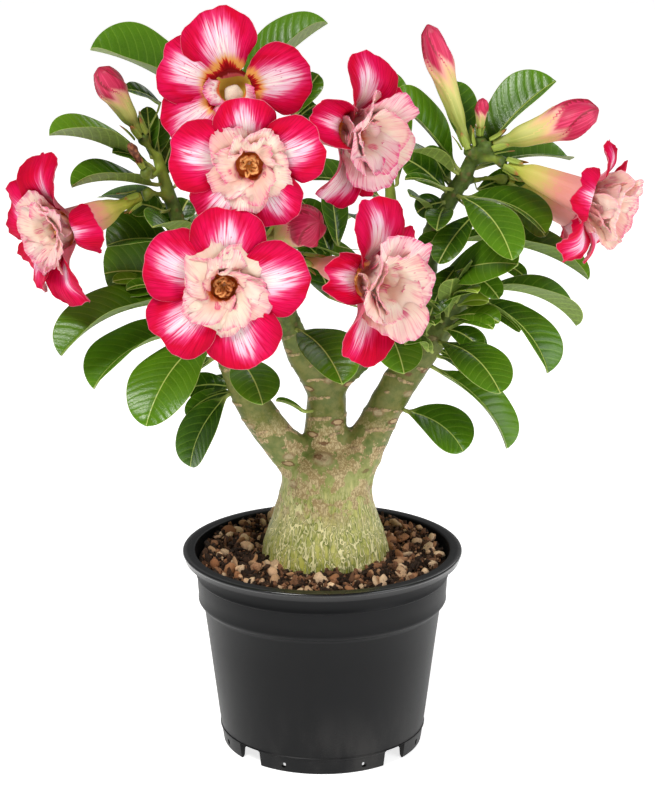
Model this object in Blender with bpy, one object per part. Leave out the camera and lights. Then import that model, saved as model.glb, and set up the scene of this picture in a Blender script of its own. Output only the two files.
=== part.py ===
"""Potted desert rose (adenium): nursery pot, substrate, woody plant, double flowers, buds and leaves.

Each piece is one closed object. Tables are in millimetres and degrees, and every mesh is built in metres.
+Z is up, -Y is the front, and the origin is the middle of the pot's base, on the surface it stands on.
Headings turn from +X (0) through +Y, the back (90). A lift is the rise above the horizontal.
"""

import math

import bpy
from mathutils import Matrix, Vector

MM = 0.001

# Pot
RIM_RADIUS = 65.0
RIM_DROP = 4.0
RIM_EDGE = 0.8
RIM_INNER_RADIUS = 59.4
POT_HEIGHT = 94.0
COLLAR = ((57.8, 71.0), (58.6, 82.0), (59.3, 89.6))
BODY_TOP = (55.8, 69.0)
BODY_FOOT = (48.0, 8.0)
WALL = 1.2
FOOT_RADIUS = 46.8
FOOT_WALL = 1.4
FLOOR_UNDERSIDE = 5.0
FLOOR_TOP = 6.4
POT_STEPS = 40
POT_SHARP_ANGLE = 35
FEET = 4
FIRST_FOOT_GAP = 45
FOOT_GAP = 13.0
FOOT_GAP_HEIGHT = 8.0
CUTTER_DEPTH = 9.0
DRAIN_SLOT = (2.3, 2.6)
DRAIN_SLOT_HEIGHT = 3.4
DRAIN_SLOT_ANGLES = (22, 68, 112, 158, 202, 294, 338)

# Substrate
SOIL_STEPS = 40
SOIL_SURFACE = ((57.6, 88.2), (46.0, 89.2), (38.0, 90.2))
SOIL_CROWN = 91.2
SOIL_GAP = 0.35
CAVITY_GAP = 0.8
CAVITY_ROUNDING = 2.6

# Woody plant: the caudex is a turned form, and the branches are tubes along a route of (x, y, z, radius)
CAUDEX_AXIS = (1.4, 0.0)
CAUDEX_PROFILE = (
    (9, 63), (19, 66), (25, 73), (28.5, 81), (29.8, 90), (28.9, 96), (26.8, 103),
    (24.3, 110), (22.2, 117), (20.8, 125), (19.0, 134), (14.0, 141), (6.0, 145),
)
CAUDEX_SIDES = 28
CAUDEX_ROUNDING = 1.5
BRANCH_SIDES = 14
BRANCHES = {
    "left": (
        (-2, 0, 124, 13), (-10, -1, 134, 10), (-20, -2, 146, 8.7), (-27, -3, 156, 8.4),
        (-33, -3, 166, 8.0), (-41, -1, 184, 7.0), (-50, 1, 206, 5.8), (-57, 3, 226, 4.6),
        (-62, 3, 241, 4.0), (-68, 3, 257, 3.4), (-74, 3, 278, 2.6),
    ),
    "trunk": ((2, 0, 132, 14), (2, 1, 147, 10), (2, 2, 160, 9.2), (2, 2, 172, 8.6)),
    "middle": (
        (2, 2, 168, 8.5), (-4, -1, 178, 7.4), (-10, -5, 188, 6.6), (-16, -10, 206, 5.4),
        (-20, -15, 226, 4.8), (-20, -17, 244, 4.2), (-18, -17, 260, 3.6), (-16, -16, 272, 2.6),
    ),
    "crown": ((-20, -14, 232, 4.2), (-28, -4, 252, 3.8), (-38, 3, 274, 3.2), (-45, 4, 298, 2.4)),
    "inner": (
        (3, 2, 168, 7.0), (10, 1, 176, 5.2), (19.5, 1, 184, 4.6), (26, 5, 204, 4.2),
        (31, 9, 228, 3.8), (32, 12, 248, 3.2), (30, 14, 266, 2.4),
    ),
    "right": (
        (6, 0, 118, 15), (16.5, 0, 138, 10.5), (23, 0, 150, 8.8), (28, 0, 160, 8.3),
        (35.5, -1, 174, 8.2), (45, -2, 187, 7.2), (53, -3, 198, 6.2), (60, -4, 209, 5.0),
        (66, -5, 217, 4.2), (72, -6, 224, 3.0),
    ),
    "upper": (
        (42, -1, 183, 6.6), (45, 4, 200, 5.6), (47, 8, 220, 5.0), (50, 8, 242, 4.4),
        (57, 6, 256, 4.2), (64, 4, 268, 3.8), (69, 3, 281, 2.8),
    ),
}
STALK_RADIUS = 1.7
STALK_SIDES = 8
STALK_BEND = 0.55
CALYX_RADIUS = 3.4
CALYX_LENGTH = 5.0
CALYX_GAP = 1.5
VOXEL = 1.25
WOOD_KEPT = 0.05

# Open flowers: (branch and share of its length that the stalk grows from, base of the tube, throat, heading
# and lift that it faces, clock angles and lengths of the five petals, opening angle, inner whorl's length and
# opening angle)
FLOWERS = {
    "top": (("crown", 0.80), (-34, -6, 288), (-38, -38, 312), (266, 6), (12, 103, 156, 216, 292),
            (30, 30, 28, 28, 20), 98, 7, 40),
    "middle": (("middle", 0.94), (-24, -34, 270), (-30, -68, 285), (270, -4), (22, 95, 166, 232, 306),
               (28, 24, 29, 25, 23), 92, 18, 56),
    "front": (("middle", 0.62), (-31, -34, 234), (-41, -73, 234), (270, 2), (12, 84, 152, 218, 292),
              (32, 30, 31, 31, 31), 102, 18, 66),
    "upper_right": (("middle", 0.97), (-8, -16, 290), (12, -38, 294), (318, -6), (16, 92, 160, 232, 300),
                    (26, 31, 28, 28, 26), 104, 27, 42),
    "lower_right": (("middle", 0.80), (-6, -34, 237), (19, -56, 233), (318, 0), (20, 96, 166, 236, 306),
                    (27, 33, 27, 31, 28), 104, 29, 44),
    "far_left": (("left", 0.86), (-81, -8, 260), (-112, -24, 249), (220, -6), (10, 92, 162, 230, 296),
                 (28, 31, 31, 28, 30), 97, 22, 54),
    "far_right": (("upper", 0.92), (83, -6, 274), (116, -17, 261), (336, -16), (14, 88, 160, 228, 304),
                  (26, 23, 25, 26, 28), 102, 28, 36),
    "hidden_right": (("upper", 0.82), (84, 13, 263), (114, 27, 248), (14, -26), (18, 90, 162, 234, 306),
                     (12, 12, 12, 12, 12), 40, 7, 25),
}
THROAT_RADIUS = 8.4
THROAT_FLOOR = (3.4, 9.0, 1.5)
TUBE_STATIONS = ((0.0, 3.0), (0.22, 5.6), (0.6, 7.4), (1.0, THROAT_RADIUS))
PETAL_START = 34
PETAL_THICKNESS = 0.8
NOTCH = 0.62
SHOULDER = 0.98
OUTER_REACH = {"notch": NOTCH, "shoulder": SHOULDER, "tip": 1.0}
OUTER_BACK = (0.0, 0.4, 0.75, 1.0)
OUTER_FRONT = (0.98, 0.7, 0.3)
INNER_RADIUS = 5.8
INNER_START = 10
INNER_REACH = {"notch": 1.0, "shoulder": 0.86, "tip": 0.66}
INNER_BACK = (0.0, 0.55, 1.0)
INNER_FRONT = (0.96, 0.5)

# Buds: (branch and share that the stalk grows from, base, tip, greatest radius)
BUDS = {
    "left_large": (("left", 0.98), (-81, -1, 288), (-98, -6, 317), 6.2),
    "left_small": (("left", 0.96), (-79, -14, 275), (-84, -19, 286), 2.4),
    "right_tall": (("upper", 0.97), (64, -6, 284), (45, -12, 336), 7.2),
    "right_small": (("upper", 0.99), (70, 1, 287), (71, 0, 303), 2.8),
    "right_long": (("upper", 0.95), (77, -4, 283), (121, -10, 300), 6.6),
    "middle_low": (("middle", 0.80), (-21, -46, 249), (-1, -62, 260), 6.2),
}
BUD_SIDES = 10
BUD_STATIONS = ((0.0, 0.46), (0.2, 0.72), (0.5, 0.84), (0.64, 1.0), (0.8, 0.86), (0.93, 0.48))

# Leaves: (branch, share of its length, heading, lift at the stem, droop to the tip, roll, fold of the two
# halves up from the midrib, length, width)
LEAVES = {
    "crown_left": ("crown", 0.95, 185, 45, 35, -25, 0.5, 64, 23),
    "crown_right": ("crown", 0.93, 5, 55, 25, 25, 0.5, 60, 21),
    "crown_back": ("crown", 0.84, 95, 45, 45, 0, 0.3, 54, 18),
    "left_top": ("left", 0.95, 202, 43, 45, -25, 0.5, 58, 22),
    "left_front": ("left", 0.92, 212, 20, 35, -25, 0.5, 48, 17),
    "left_upright": ("left", 0.99, 105, 60, 10, 0, 0.3, 18, 13),
    "left_inner": ("left", 0.90, 45, 80, 15, 0, 0.3, 22, 12),
    "left_behind": ("left", 0.86, 150, 15, 30, -10, 0.3, 36, 15),
    "left_mid": ("left", 0.76, 180, 15, 40, -20, 0.4, 32, 18),
    "left_curled": ("left", 0.74, 240, 55, 60, 0, 0.4, 32, 12),
    "left_wide": ("left", 0.64, 175, 25, 40, -20, 0.4, 40, 20),
    "left_long": ("left", 0.60, 205, 10, 60, -25, 0.45, 70, 27),
    "left_low": ("left", 0.52, 208, 8, 65, -20, 0.4, 62, 26),
    "left_broad": ("left", 0.50, 240, -2, 60, -10, 0.15, 64, 33),
    "left_under": ("left", 0.44, 160, -30, 50, -20, 0.4, 36, 18),
    "left_hanging": ("left", 0.34, 205, -40, 45, -15, 0.3, 38, 19),
    "middle_front": ("left", 0.42, 290, 5, 50, 5, 0.2, 40, 22),
    "middle_right": ("middle", 0.35, 300, 0, 50, 15, 0.35, 42, 21),
    "upper_face": ("upper", 0.78, 300, 0, 60, 10, 0.15, 50, 24),
    "upper_side": ("upper", 0.78, 345, 5, 60, 20, 0.4, 42, 18),
    "upper_inward": ("upper", 0.70, 260, 5, 40, -10, 0.4, 24, 12),
    "upper_dark": ("upper", 0.36, 320, 30, 30, 25, 0.25, 48, 20),
    "upper_long": ("upper", 0.55, 355, 5, 45, 22, 0.5, 70, 21),
    "upper_tall": ("upper", 0.88, 209, 55, 25, -25, 0.5, 47, 19),
    "upper_upright": ("upper", 0.96, 115, 75, 10, 0, 0.3, 32, 13),
    "upper_big": ("upper", 0.92, 12, 57, 27, 25, 0.5, 52, 22),
    "upper_pale": ("upper", 0.86, 220, 40, 35, -15, 0.4, 32, 13),
    "upper_right": ("upper", 0.98, 78, 15, 20, 20, 0.3, 30, 12),
    "upper_back": ("upper", 0.90, 36, 12, 30, 20, 0.4, 58, 15),
    "upper_left": ("upper", 0.80, 130, 30, 35, -15, 0.3, 28, 16),
    "upper_left_low": ("upper", 0.66, 220, 50, 35, -15, 0.3, 16, 14),
    "right_top": ("right", 0.97, 10, 0, 55, 22, 0.5, 50, 21),
    "right_side": ("right", 0.93, 332, -15, 60, 18, 0.4, 49, 23),
    "right_face": ("right", 0.72, 300, 10, 55, 8, 0.15, 52, 23),
    "right_narrow": ("right", 0.62, 350, -25, 50, 22, 0.45, 52, 18),
    "right_low": ("right", 0.42, 340, -5, 60, 12, 0.25, 34, 19),
    "right_back": ("right", 0.80, 60, 10, 60, 0, 0.3, 76, 20),
    "inner_front": ("inner", 0.36, 285, 10, 60, 0, 0.2, 44, 21),
    "inner_top": ("inner", 0.95, 105, 85, 15, 0, 0.3, 52, 15),
    "inner_left": ("inner", 0.90, 195, 35, 40, -15, 0.4, 40, 15),
    "inner_back": ("inner", 0.72, 110, 20, 50, 0, 0.3, 62, 19),
    "inner_low": ("inner", 0.58, 170, 30, 45, -15, 0.4, 50, 17),
    "left_back": ("left", 0.66, 95, 25, 35, 0, 0.3, 78, 20),
}
LEAF_STATIONS = (0.0, 0.1, 0.25, 0.45, 0.65, 0.82, 0.94)
LEAF_THICKNESS = 1.0
PETIOLE_RADIUS = 1.1
STEM_GAP = 0.9

COLORS = {
    "pot": ((0.018, 0.019, 0.021), 0.42),
    "substrate": ((0.10, 0.055, 0.03), 0.95),
    "woody_plant": ((0.28, 0.30, 0.14), 0.7),
    "flower": ((0.80, 0.03, 0.12), 0.5),
    "bud": ((0.75, 0.08, 0.18), 0.5),
    "leaf": ((0.04, 0.17, 0.025), 0.35),
}


def clear_scene():
    for obj in list(bpy.data.objects):
        bpy.data.objects.remove(obj)


def make_material(name):
    """A Principled material of the named colour, made for one object."""
    color, roughness = COLORS[name.split("-")[0]]
    material = bpy.data.materials.new(name)
    material.use_nodes = True
    shader = material.node_tree.nodes["Principled BSDF"]
    shader.inputs["Base Color"].default_value = (*color, 1.0)
    shader.inputs["Roughness"].default_value = roughness
    shader.inputs["Metallic"].default_value = 0.0
    return material


def add_object(name, points, faces, look):
    """An object from points in millimetres, shaded smooth, with a material of its own."""
    mesh = bpy.data.meshes.new(name)
    mesh.from_pydata([Vector(p) * MM for p in points], [], faces)
    mesh.validate()
    mesh.shade_smooth()
    obj = bpy.data.objects.new(name, mesh)
    obj.data.materials.append(make_material(f"{look}-{name}"))
    bpy.context.collection.objects.link(obj)
    return obj


def loft(rings, first_tip, last_tip):
    """Points and faces of a closed skin over rings of equal count, with a fan round a tip at each end.

    Each ring runs anticlockwise, seen from where the rings are going."""
    count = len(rings[0])
    points = [p for ring in rings for p in ring] + [first_tip, last_tip]
    first, last = len(points) - 2, len(points) - 1
    faces = []
    for k in range(count):
        after = (k + 1) % count
        faces.append((first, after, k))
        for r in range(len(rings) - 1):
            low, high = r * count, (r + 1) * count
            faces.append((low + k, low + after, high + after, high + k))
        end = (len(rings) - 1) * count
        faces.append((end + k, end + after, last))
    return points, faces


def joined(skins):
    """Several (points, faces) as one, left overlapping for a remesh to join."""
    points, faces = [], []
    for more_points, more_faces in skins:
        start = len(points)
        points += more_points
        faces += [tuple(start + i for i in face) for face in more_faces]
    return points, faces


def direction(heading, lift):
    h, e = math.radians(heading), math.radians(lift)
    return Vector((math.cos(e) * math.cos(h), math.cos(e) * math.sin(h), math.sin(e)))


def turned(profile, steps, center=(0.0, 0.0)):
    """Rings of a turned form, one for each (radius, height)."""
    return [
        [
            Vector((
                center[0] + r * math.cos(math.tau * k / steps),
                center[1] + r * math.sin(math.tau * k / steps),
                z,
            ))
            for k in range(steps)
        ]
        for r, z in profile
    ]


def tube(route, sides, dome=0.5):
    """A closed tube along a route of (point, radius), its sides carried round the bends without a twist.

    dome is how far its end stands out, as a share of the radius there."""
    points = [p for p, _ in route]
    across = None
    rings = []
    for i, (point, radius) in enumerate(route):
        along = (points[min(i + 1, len(points) - 1)] - points[max(i - 1, 0)]).normalized()
        if across is None:
            across = along.orthogonal().normalized()
        across = (across - along * across.dot(along)).normalized()
        beside = along.cross(across)
        rings.append([
            point
            + across * radius * math.cos(math.tau * k / sides)
            + beside * radius * math.sin(math.tau * k / sides)
            for k in range(sides)
        ])
        if i == 0:
            start = point - along * radius * 0.3
    return loft(rings, start, point + along * radius * dome)


def route_of(branch):
    return [(Vector(station[:3]), station[3]) for station in BRANCHES[branch]]


def place_on(branch, share):
    """The point at a share of a branch's length, with its radius and its direction there."""
    route = route_of(branch)
    lengths = [(b[0] - a[0]).length for a, b in zip(route, route[1:])]
    left = share * sum(lengths)
    for (a, ra), (b, rb), length in zip(route, route[1:], lengths):
        if left <= length:
            part = left / length
            return a.lerp(b, part), ra + (rb - ra) * part, (b - a).normalized()
        left -= length
    raise ValueError(f"{share} is past the end of {branch}")


def add_cutter(name, size, center, turn):
    """A box that cuts, turned about the pot's axis."""
    x, y, z = (s / 2 for s in size)
    corners = [(sx * x, sy * y, sz * z) for sx in (-1, 1) for sy in (-1, 1) for sz in (-1, 1)]
    faces = [(0, 1, 3, 2), (4, 6, 7, 5), (0, 4, 5, 1), (2, 3, 7, 6), (0, 2, 6, 4), (1, 5, 7, 3)]
    around = Matrix.Rotation(math.radians(turn), 3, "Z")
    points = [around @ (Vector(corner) + Vector(center)) for corner in corners]
    cutter = add_object(name, points, faces, "pot")
    cutter.hide_render = True
    cutter.display_type = "WIRE"
    return cutter


def cut(obj, cutter):
    modifier = obj.modifiers.new(cutter.name, "BOOLEAN")
    modifier.operation = "DIFFERENCE"
    modifier.solver = "EXACT"
    modifier.object = cutter


def make_pot():
    """The nursery pot: one turned wall, with gaps between its feet and drain slots cut into its foot ring."""
    foot_inner = FOOT_RADIUS - FOOT_WALL
    outside = [
        (foot_inner - 0.4, FLOOR_UNDERSIDE), (foot_inner, 0), (FOOT_RADIUS, 0), BODY_FOOT, BODY_TOP, *COLLAR,
        (RIM_RADIUS - RIM_EDGE, POT_HEIGHT - RIM_DROP), (RIM_RADIUS, POT_HEIGHT - RIM_DROP + RIM_EDGE),
        (RIM_RADIUS, POT_HEIGHT - RIM_EDGE), (RIM_RADIUS - RIM_EDGE, POT_HEIGHT),
    ]
    inside = [
        (RIM_INNER_RADIUS, POT_HEIGHT), (RIM_INNER_RADIUS - 1, POT_HEIGHT - RIM_EDGE),
        (COLLAR[-1][0] - WALL, COLLAR[-1][1] - 0.6), (COLLAR[0][0] - WALL, COLLAR[0][1] + 0.4),
        (BODY_TOP[0] - WALL, BODY_TOP[1] + 0.2), (BODY_FOOT[0] - WALL, BODY_FOOT[1] + 0.4),
        (FOOT_RADIUS - 0.8, FLOOR_TOP),
    ]
    rings = turned(outside + inside, POT_STEPS)
    points, faces = loft(rings, Vector((0, 0, FLOOR_UNDERSIDE + 0.02)), Vector((0, 0, FLOOR_TOP - 0.02)))
    pot = add_object("pot", points, faces, "pot")
    cut_radius = FOOT_RADIUS - FOOT_WALL / 2
    for k in range(FEET):
        size = (CUTTER_DEPTH, FOOT_GAP, FOOT_GAP_HEIGHT + 2)
        center = (cut_radius, 0, FOOT_GAP_HEIGHT / 2 - 1)
        cut(pot, add_cutter(f"foot_gap_{k}", size, center, FIRST_FOOT_GAP + 360 / FEET * k))
    for k, angle in enumerate(DRAIN_SLOT_ANGLES):
        size = (CUTTER_DEPTH, *DRAIN_SLOT)
        cut(pot, add_cutter(f"drain_slot_{k}", size, (cut_radius, 0, DRAIN_SLOT_HEIGHT), angle))
    pot.data.set_sharp_from_angle(angle=math.radians(POT_SHARP_ANGLE))


def make_substrate():
    """The potting mix: it fills the pot, stops short of the rim, and has a hollow for the buried caudex."""
    walls = ((FOOT_RADIUS - 0.3, FLOOR_TOP), BODY_FOOT, BODY_TOP, COLLAR[0])
    outer = [(r - WALL - SOIL_GAP, z + 0.6) for r, z in walls] + list(SOIL_SURFACE)
    hollow = [(r + CAVITY_GAP, z - CAVITY_GAP) for r, z in reversed(CAUDEX_PROFILE) if z < SOIL_CROWN]
    crown = (hollow[0][0] + 0.3, SOIL_CROWN)
    rings = turned(outer, SOIL_STEPS) + turned([crown] + hollow, SOIL_STEPS, CAUDEX_AXIS)
    bottom = Vector((*CAUDEX_AXIS, CAUDEX_PROFILE[0][1] - CAVITY_ROUNDING))
    points, faces = loft(rings, Vector((0, 0, FLOOR_TOP + 0.3)), bottom)
    add_object("substrate", points, faces, "substrate")


def stalk_route(start, radius, base, toward):
    """From inside a shoot to a flower's or bud's calyx, bending into the direction that its tube takes."""
    end = base - toward * CALYX_GAP
    cup = end - toward * CALYX_LENGTH
    middle = start.lerp(cup, STALK_BEND)
    knee = middle.lerp(cup - toward * CALYX_LENGTH, STALK_BEND / 2)
    return [
        (start, min(STALK_RADIUS * 1.3, radius)), (knee, STALK_RADIUS), (cup, STALK_RADIUS),
        (cup + toward * 1.6, CALYX_RADIUS), (end, CALYX_RADIUS * 0.92),
    ]


def make_woody_plant():
    """Caudex, branches, shoots, stalks and calyces, grown together: overlapping skins joined by one remesh."""
    skins = [loft(
        turned(CAUDEX_PROFILE, CAUDEX_SIDES, CAUDEX_AXIS),
        Vector((*CAUDEX_AXIS, CAUDEX_PROFILE[0][1] - CAUDEX_ROUNDING)),
        Vector((*CAUDEX_AXIS, CAUDEX_PROFILE[-1][1] + CAUDEX_ROUNDING)),
    )]
    for branch in BRANCHES:
        skins.append(tube(route_of(branch), BRANCH_SIDES))
    ends = [(f[0], Vector(f[1]), Vector(f[2])) for f in FLOWERS.values()]
    ends += [(b[0], Vector(b[1]), Vector(b[2])) for b in BUDS.values()]
    for (branch, share), base, beyond in ends:
        start, radius, _ = place_on(branch, share)
        skins.append(tube(stalk_route(start, radius, base, (beyond - base).normalized()), STALK_SIDES, 0.1))
    points, faces = joined(skins)
    plant = add_object("woody_plant", points, faces, "woody_plant")
    remesh = plant.modifiers.new("grown_together", "REMESH")
    remesh.mode = "VOXEL"
    remesh.voxel_size = VOXEL * MM
    fewer = plant.modifiers.new("fewer_faces", "DECIMATE")
    fewer.ratio = WOOD_KEPT


def petal_fan(clocks):
    """Twenty (angle, petal, kind) round a flower: a notch, a shoulder, a tip and a shoulder for each petal."""
    fan = []
    for p, clock in enumerate(clocks):
        before = (clock - clocks[p - 1]) % 360
        after = (clocks[(p + 1) % len(clocks)] - clock) % 360
        fan += [
            (clock - before / 2, p, "notch"), (clock - before / 4, p, "shoulder"),
            (clock, p, "tip"), (clock + after / 4, p, "shoulder"),
        ]
    return fan


def petal_arc(length, share, opening, start):
    """Radial and axial reach, and the slope, at a share of a petal that bends from start to opening."""
    steps = 8
    radial = axial = 0.0
    for i in range(steps):
        slope = math.radians(start + (opening - start) * min(1.0, share * (i + 0.5) / steps * 1.3))
        radial += math.sin(slope) * length * share / steps
        axial += math.cos(slope) * length * share / steps
    slope = math.radians(start + (opening - start) * min(1.0, share * 1.3))
    return radial, axial, slope


def make_flower(name, base, throat, facing, clocks, lengths, opening, inner_length, inner_opening):
    """A double flower: tube, five outer petals and an inner whorl of five, fused in the throat.

    The skin runs up the outside of the tube, out over the petals' backs, back over their fronts into the
    throat, and then over the inner whorl in the same way."""
    base, throat = Vector(base), Vector(throat)
    axis = direction(*facing)
    right = Vector((0, 0, 1)).cross(axis).normalized()
    up = axis.cross(right)
    fan = petal_fan(clocks)
    reach = (throat - base).length
    enter = (throat - base).normalized()

    def ring(center, forward, radius, height):
        """A round ring, square to the direction that the tube has there."""
        side = (right - forward * right.dot(forward)).normalized()
        top = forward.cross(side)
        return [
            center + forward * height
            + side * radius * math.cos(math.radians(a)) + top * radius * math.sin(math.radians(a))
            for a, _, _ in fan
        ]

    def whorl(root, sizes, share, slope_from, slope_to, front, reaches):
        """A ring over petals at a share of their length; front lifts it to their upper side."""
        points = []
        for k, (a, p, kind) in enumerate(fan):
            length = (sizes[p] + sizes[p - 1]) / 2 if kind == "notch" else sizes[p]
            radial, axial, slope = petal_arc(length * reaches[kind], share, slope_to, slope_from)
            r = root + radial - front * math.cos(slope)
            h = axial + front * math.sin(slope)
            angle = math.radians(a)
            points.append(throat + axis * h + (right * math.cos(angle) + up * math.sin(angle)) * r)
        return points

    sizes = (inner_length,) * 5
    floor_radius, floor_depth, floor_rounding = THROAT_FLOOR
    rings = []
    for share, radius in TUBE_STATIONS[:-1]:
        center = base + enter * reach * share
        rings.append(ring(center, enter.lerp(axis, share * share).normalized(), radius, 0))
    for share in OUTER_BACK:
        rings.append(whorl(THROAT_RADIUS, lengths, share, PETAL_START, opening, 0, OUTER_REACH))
    for share in OUTER_FRONT:
        rings.append(whorl(THROAT_RADIUS, lengths, share, PETAL_START, opening, PETAL_THICKNESS, OUTER_REACH))
    rings.append(ring(throat, axis, THROAT_RADIUS - 1.0, -1.5))
    rings.append(ring(throat, axis, INNER_RADIUS + 0.9, -6))
    for share in INNER_BACK:
        rings.append(whorl(INNER_RADIUS, sizes, share, INNER_START, inner_opening, 0, INNER_REACH))
    for share in INNER_FRONT:
        rings.append(
            whorl(INNER_RADIUS, sizes, share, INNER_START, inner_opening, PETAL_THICKNESS, INNER_REACH))
    rings.append(ring(throat, axis, INNER_RADIUS - 1.0, -1))
    rings.append(ring(throat, axis, floor_radius, -floor_depth))
    points, faces = loft(rings, base - enter * 0.5, throat - axis * (floor_depth + floor_rounding))
    add_object(f"flower_{name}", points, faces, "flower")


def make_bud(name, base, tip, radius):
    base, tip = Vector(base), Vector(tip)
    route = [(base.lerp(tip, share), radius * part) for share, part in BUD_STATIONS]
    points, faces = tube(route, BUD_SIDES)
    points[-1] = tip
    add_object(f"bud_{name}", points, faces, "bud")


def leaf_half_width(share):
    """Outline of the blade, 0 to 1: narrow at the stalk, widest at seven tenths, blunt at the tip."""
    return share**1.1 * (1 - share) ** 0.45 / 0.393


def make_leaf(name, branch, share, heading, lift, droop, roll, fold, length, width):
    """A blade that leaves its shoot at the given heading and lift, bends down by droop, and folds up from its
    midrib. Each station has a left edge, a crest over the midrib, a right edge and a keel under it."""
    stem, radius, shoot = place_on(branch, share)
    out = direction(heading, lift)
    point = stem + (out - shoot * out.dot(shoot)).normalized() * (radius + STEM_GAP)
    level = direction(heading + 90, 0)
    stations = LEAF_STATIONS + (1.0,)
    rings = []
    for i, s in enumerate(stations):
        along = direction(heading, lift - droop * s**1.3)
        if i:
            half = direction(heading, lift - droop * ((s + stations[i - 1]) / 2) ** 1.3)
            point = point + half * length * (s - stations[i - 1])
        if s == 1.0:
            break
        spin = Matrix.Rotation(math.radians(roll), 3, along)
        side = spin @ level
        above = spin @ along.cross(level)
        reach = max(PETIOLE_RADIUS, leaf_half_width(s) * width / 2)
        edge = above * fold * max(0.0, reach - PETIOLE_RADIUS)
        crest = above * LEAF_THICKNESS * (0.5 if i else 0.9)
        rings.append([point - side * reach + edge, point - crest, point + side * reach + edge, point + crest])
    points, faces = loft(rings, rings[0][0].lerp(rings[0][2], 0.5) - out * 0.3, point)
    add_object(f"leaf_{name}", points, faces, "leaf")


def main():
    clear_scene()
    make_pot()
    make_substrate()
    make_woody_plant()
    for name, (_, *shape) in FLOWERS.items():
        make_flower(name, *shape)
    for name, (_, *shape) in BUDS.items():
        make_bud(name, *shape)
    for name, shape in LEAVES.items():
        make_leaf(name, *shape)


main()
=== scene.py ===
"""Potted desert rose (adenium): the looks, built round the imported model.

Every piece is built in millimetres and stored in metres, in the frame's own axes: +Z up, -Y the front.
"""

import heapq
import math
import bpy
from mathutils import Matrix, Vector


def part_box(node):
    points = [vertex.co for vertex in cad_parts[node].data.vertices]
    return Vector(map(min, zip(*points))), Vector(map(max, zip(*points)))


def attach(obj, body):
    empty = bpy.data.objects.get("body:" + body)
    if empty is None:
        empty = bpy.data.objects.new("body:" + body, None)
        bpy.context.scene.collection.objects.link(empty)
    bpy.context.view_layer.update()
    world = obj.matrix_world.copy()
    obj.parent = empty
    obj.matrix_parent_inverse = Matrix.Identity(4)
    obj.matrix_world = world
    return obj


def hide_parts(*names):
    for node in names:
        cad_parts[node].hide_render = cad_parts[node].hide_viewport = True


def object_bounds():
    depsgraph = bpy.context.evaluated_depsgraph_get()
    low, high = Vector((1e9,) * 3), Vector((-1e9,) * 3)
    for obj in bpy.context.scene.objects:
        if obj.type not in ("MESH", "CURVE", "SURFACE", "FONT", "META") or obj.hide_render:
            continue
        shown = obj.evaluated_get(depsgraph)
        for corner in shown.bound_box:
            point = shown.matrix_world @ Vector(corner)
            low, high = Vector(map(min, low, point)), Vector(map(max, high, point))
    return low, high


bl_info = {
    "name": "Potted Desert Rose",
    "version": (1, 0, 0),
    "blender": (4, 5, 0),
    "location": "View3D > Sidebar > Desert Rose",
    "description": "Builds a desert rose in flower, with its nursery pot, potting mix and a plain studio",
    "category": "Add Mesh",
}

import bmesh
import bpy
import numpy as np
from bpy.props import FloatProperty, FloatVectorProperty, IntProperty, PointerProperty
from mathutils import Matrix, Vector, noise
from mathutils.bvhtree import BVHTree

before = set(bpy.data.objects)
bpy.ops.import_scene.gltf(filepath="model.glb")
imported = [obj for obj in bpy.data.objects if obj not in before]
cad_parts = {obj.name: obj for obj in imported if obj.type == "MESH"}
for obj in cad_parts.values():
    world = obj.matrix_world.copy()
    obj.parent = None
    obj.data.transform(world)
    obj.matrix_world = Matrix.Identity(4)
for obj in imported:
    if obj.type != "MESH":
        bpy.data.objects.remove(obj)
CAD_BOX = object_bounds()

MM = 0.001
BODY = "root"
FLOWERS = sorted(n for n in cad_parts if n.startswith("flower_"))
BUDS = sorted(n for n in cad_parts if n.startswith("bud_"))
LEAVES = sorted(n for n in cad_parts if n.startswith("leaf_"))


# ---------------------------------------------------------------- settings


def colour(name, description, default):
    return FloatVectorProperty(
        name=name, description=description, default=default, subtype="COLOR", size=3, min=0.0, max=1.0)


def length(name, description, default):
    return FloatProperty(
        name=name, description=description, default=default * MM, unit="LENGTH", subtype="DISTANCE", min=0.0)


class PotSettings(bpy.types.PropertyGroup):
    plastic: colour("Plastic", "Colour of the moulded plastic", (0.0030, 0.0032, 0.0037))
    sides: IntProperty(name="Sides", description="Faces round the pot", default=192, min=48, max=360)
    lip: length("Lip", "Radius of the rolled rim", 0.9)


class MixSettings(bpy.types.PropertyGroup):
    peat: colour("Peat", "Colour of the fine mix", (0.030, 0.014, 0.007))
    bark: colour("Bark", "Colour of the bark chips", (0.085, 0.038, 0.018))
    pumice: colour("Pumice", "Colour of the pumice stones", (0.52, 0.36, 0.22))
    stone: length("Stone", "Size of the pumice stones", 2.5)
    chip: length("Chip", "Size of the bark chips", 3.0)
    crumb: length("Crumb", "Size of the crumbs", 0.9)


class WoodSettings(bpy.types.PropertyGroup):
    green: colour("Green bark", "Colour of the branches' bark where it is greenest", (0.085, 0.120, 0.014))
    dry: colour("Dry bark", "Colour of the branches' bark where it is driest", (0.205, 0.190, 0.042))
    olive: colour("Caudex", "Colour of the caudex where it is darkest", (0.50, 0.50, 0.13))
    straw: colour("Caudex, pale", "Colour of the caudex where it is palest", (0.69, 0.64, 0.24))
    crack: colour("Cracks", "Colour of the fine cracks in the bark", (0.95, 0.87, 0.46))
    patch: colour("Patches", "Colour of the corky patches under the branches", (0.70, 0.55, 0.31))
    scar: colour("Rings", "Colour of the rings round the branches", (0.27, 0.19, 0.10))
    shoot: colour("Shoot", "Colour of the green shoots", (0.065, 0.105, 0.018))
    stalk: colour("Stalk", "Colour of the flower stalks", (0.27, 0.36, 0.045))
    detail: length("Detail", "Spacing of the bark's mesh", 0.95)


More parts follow.
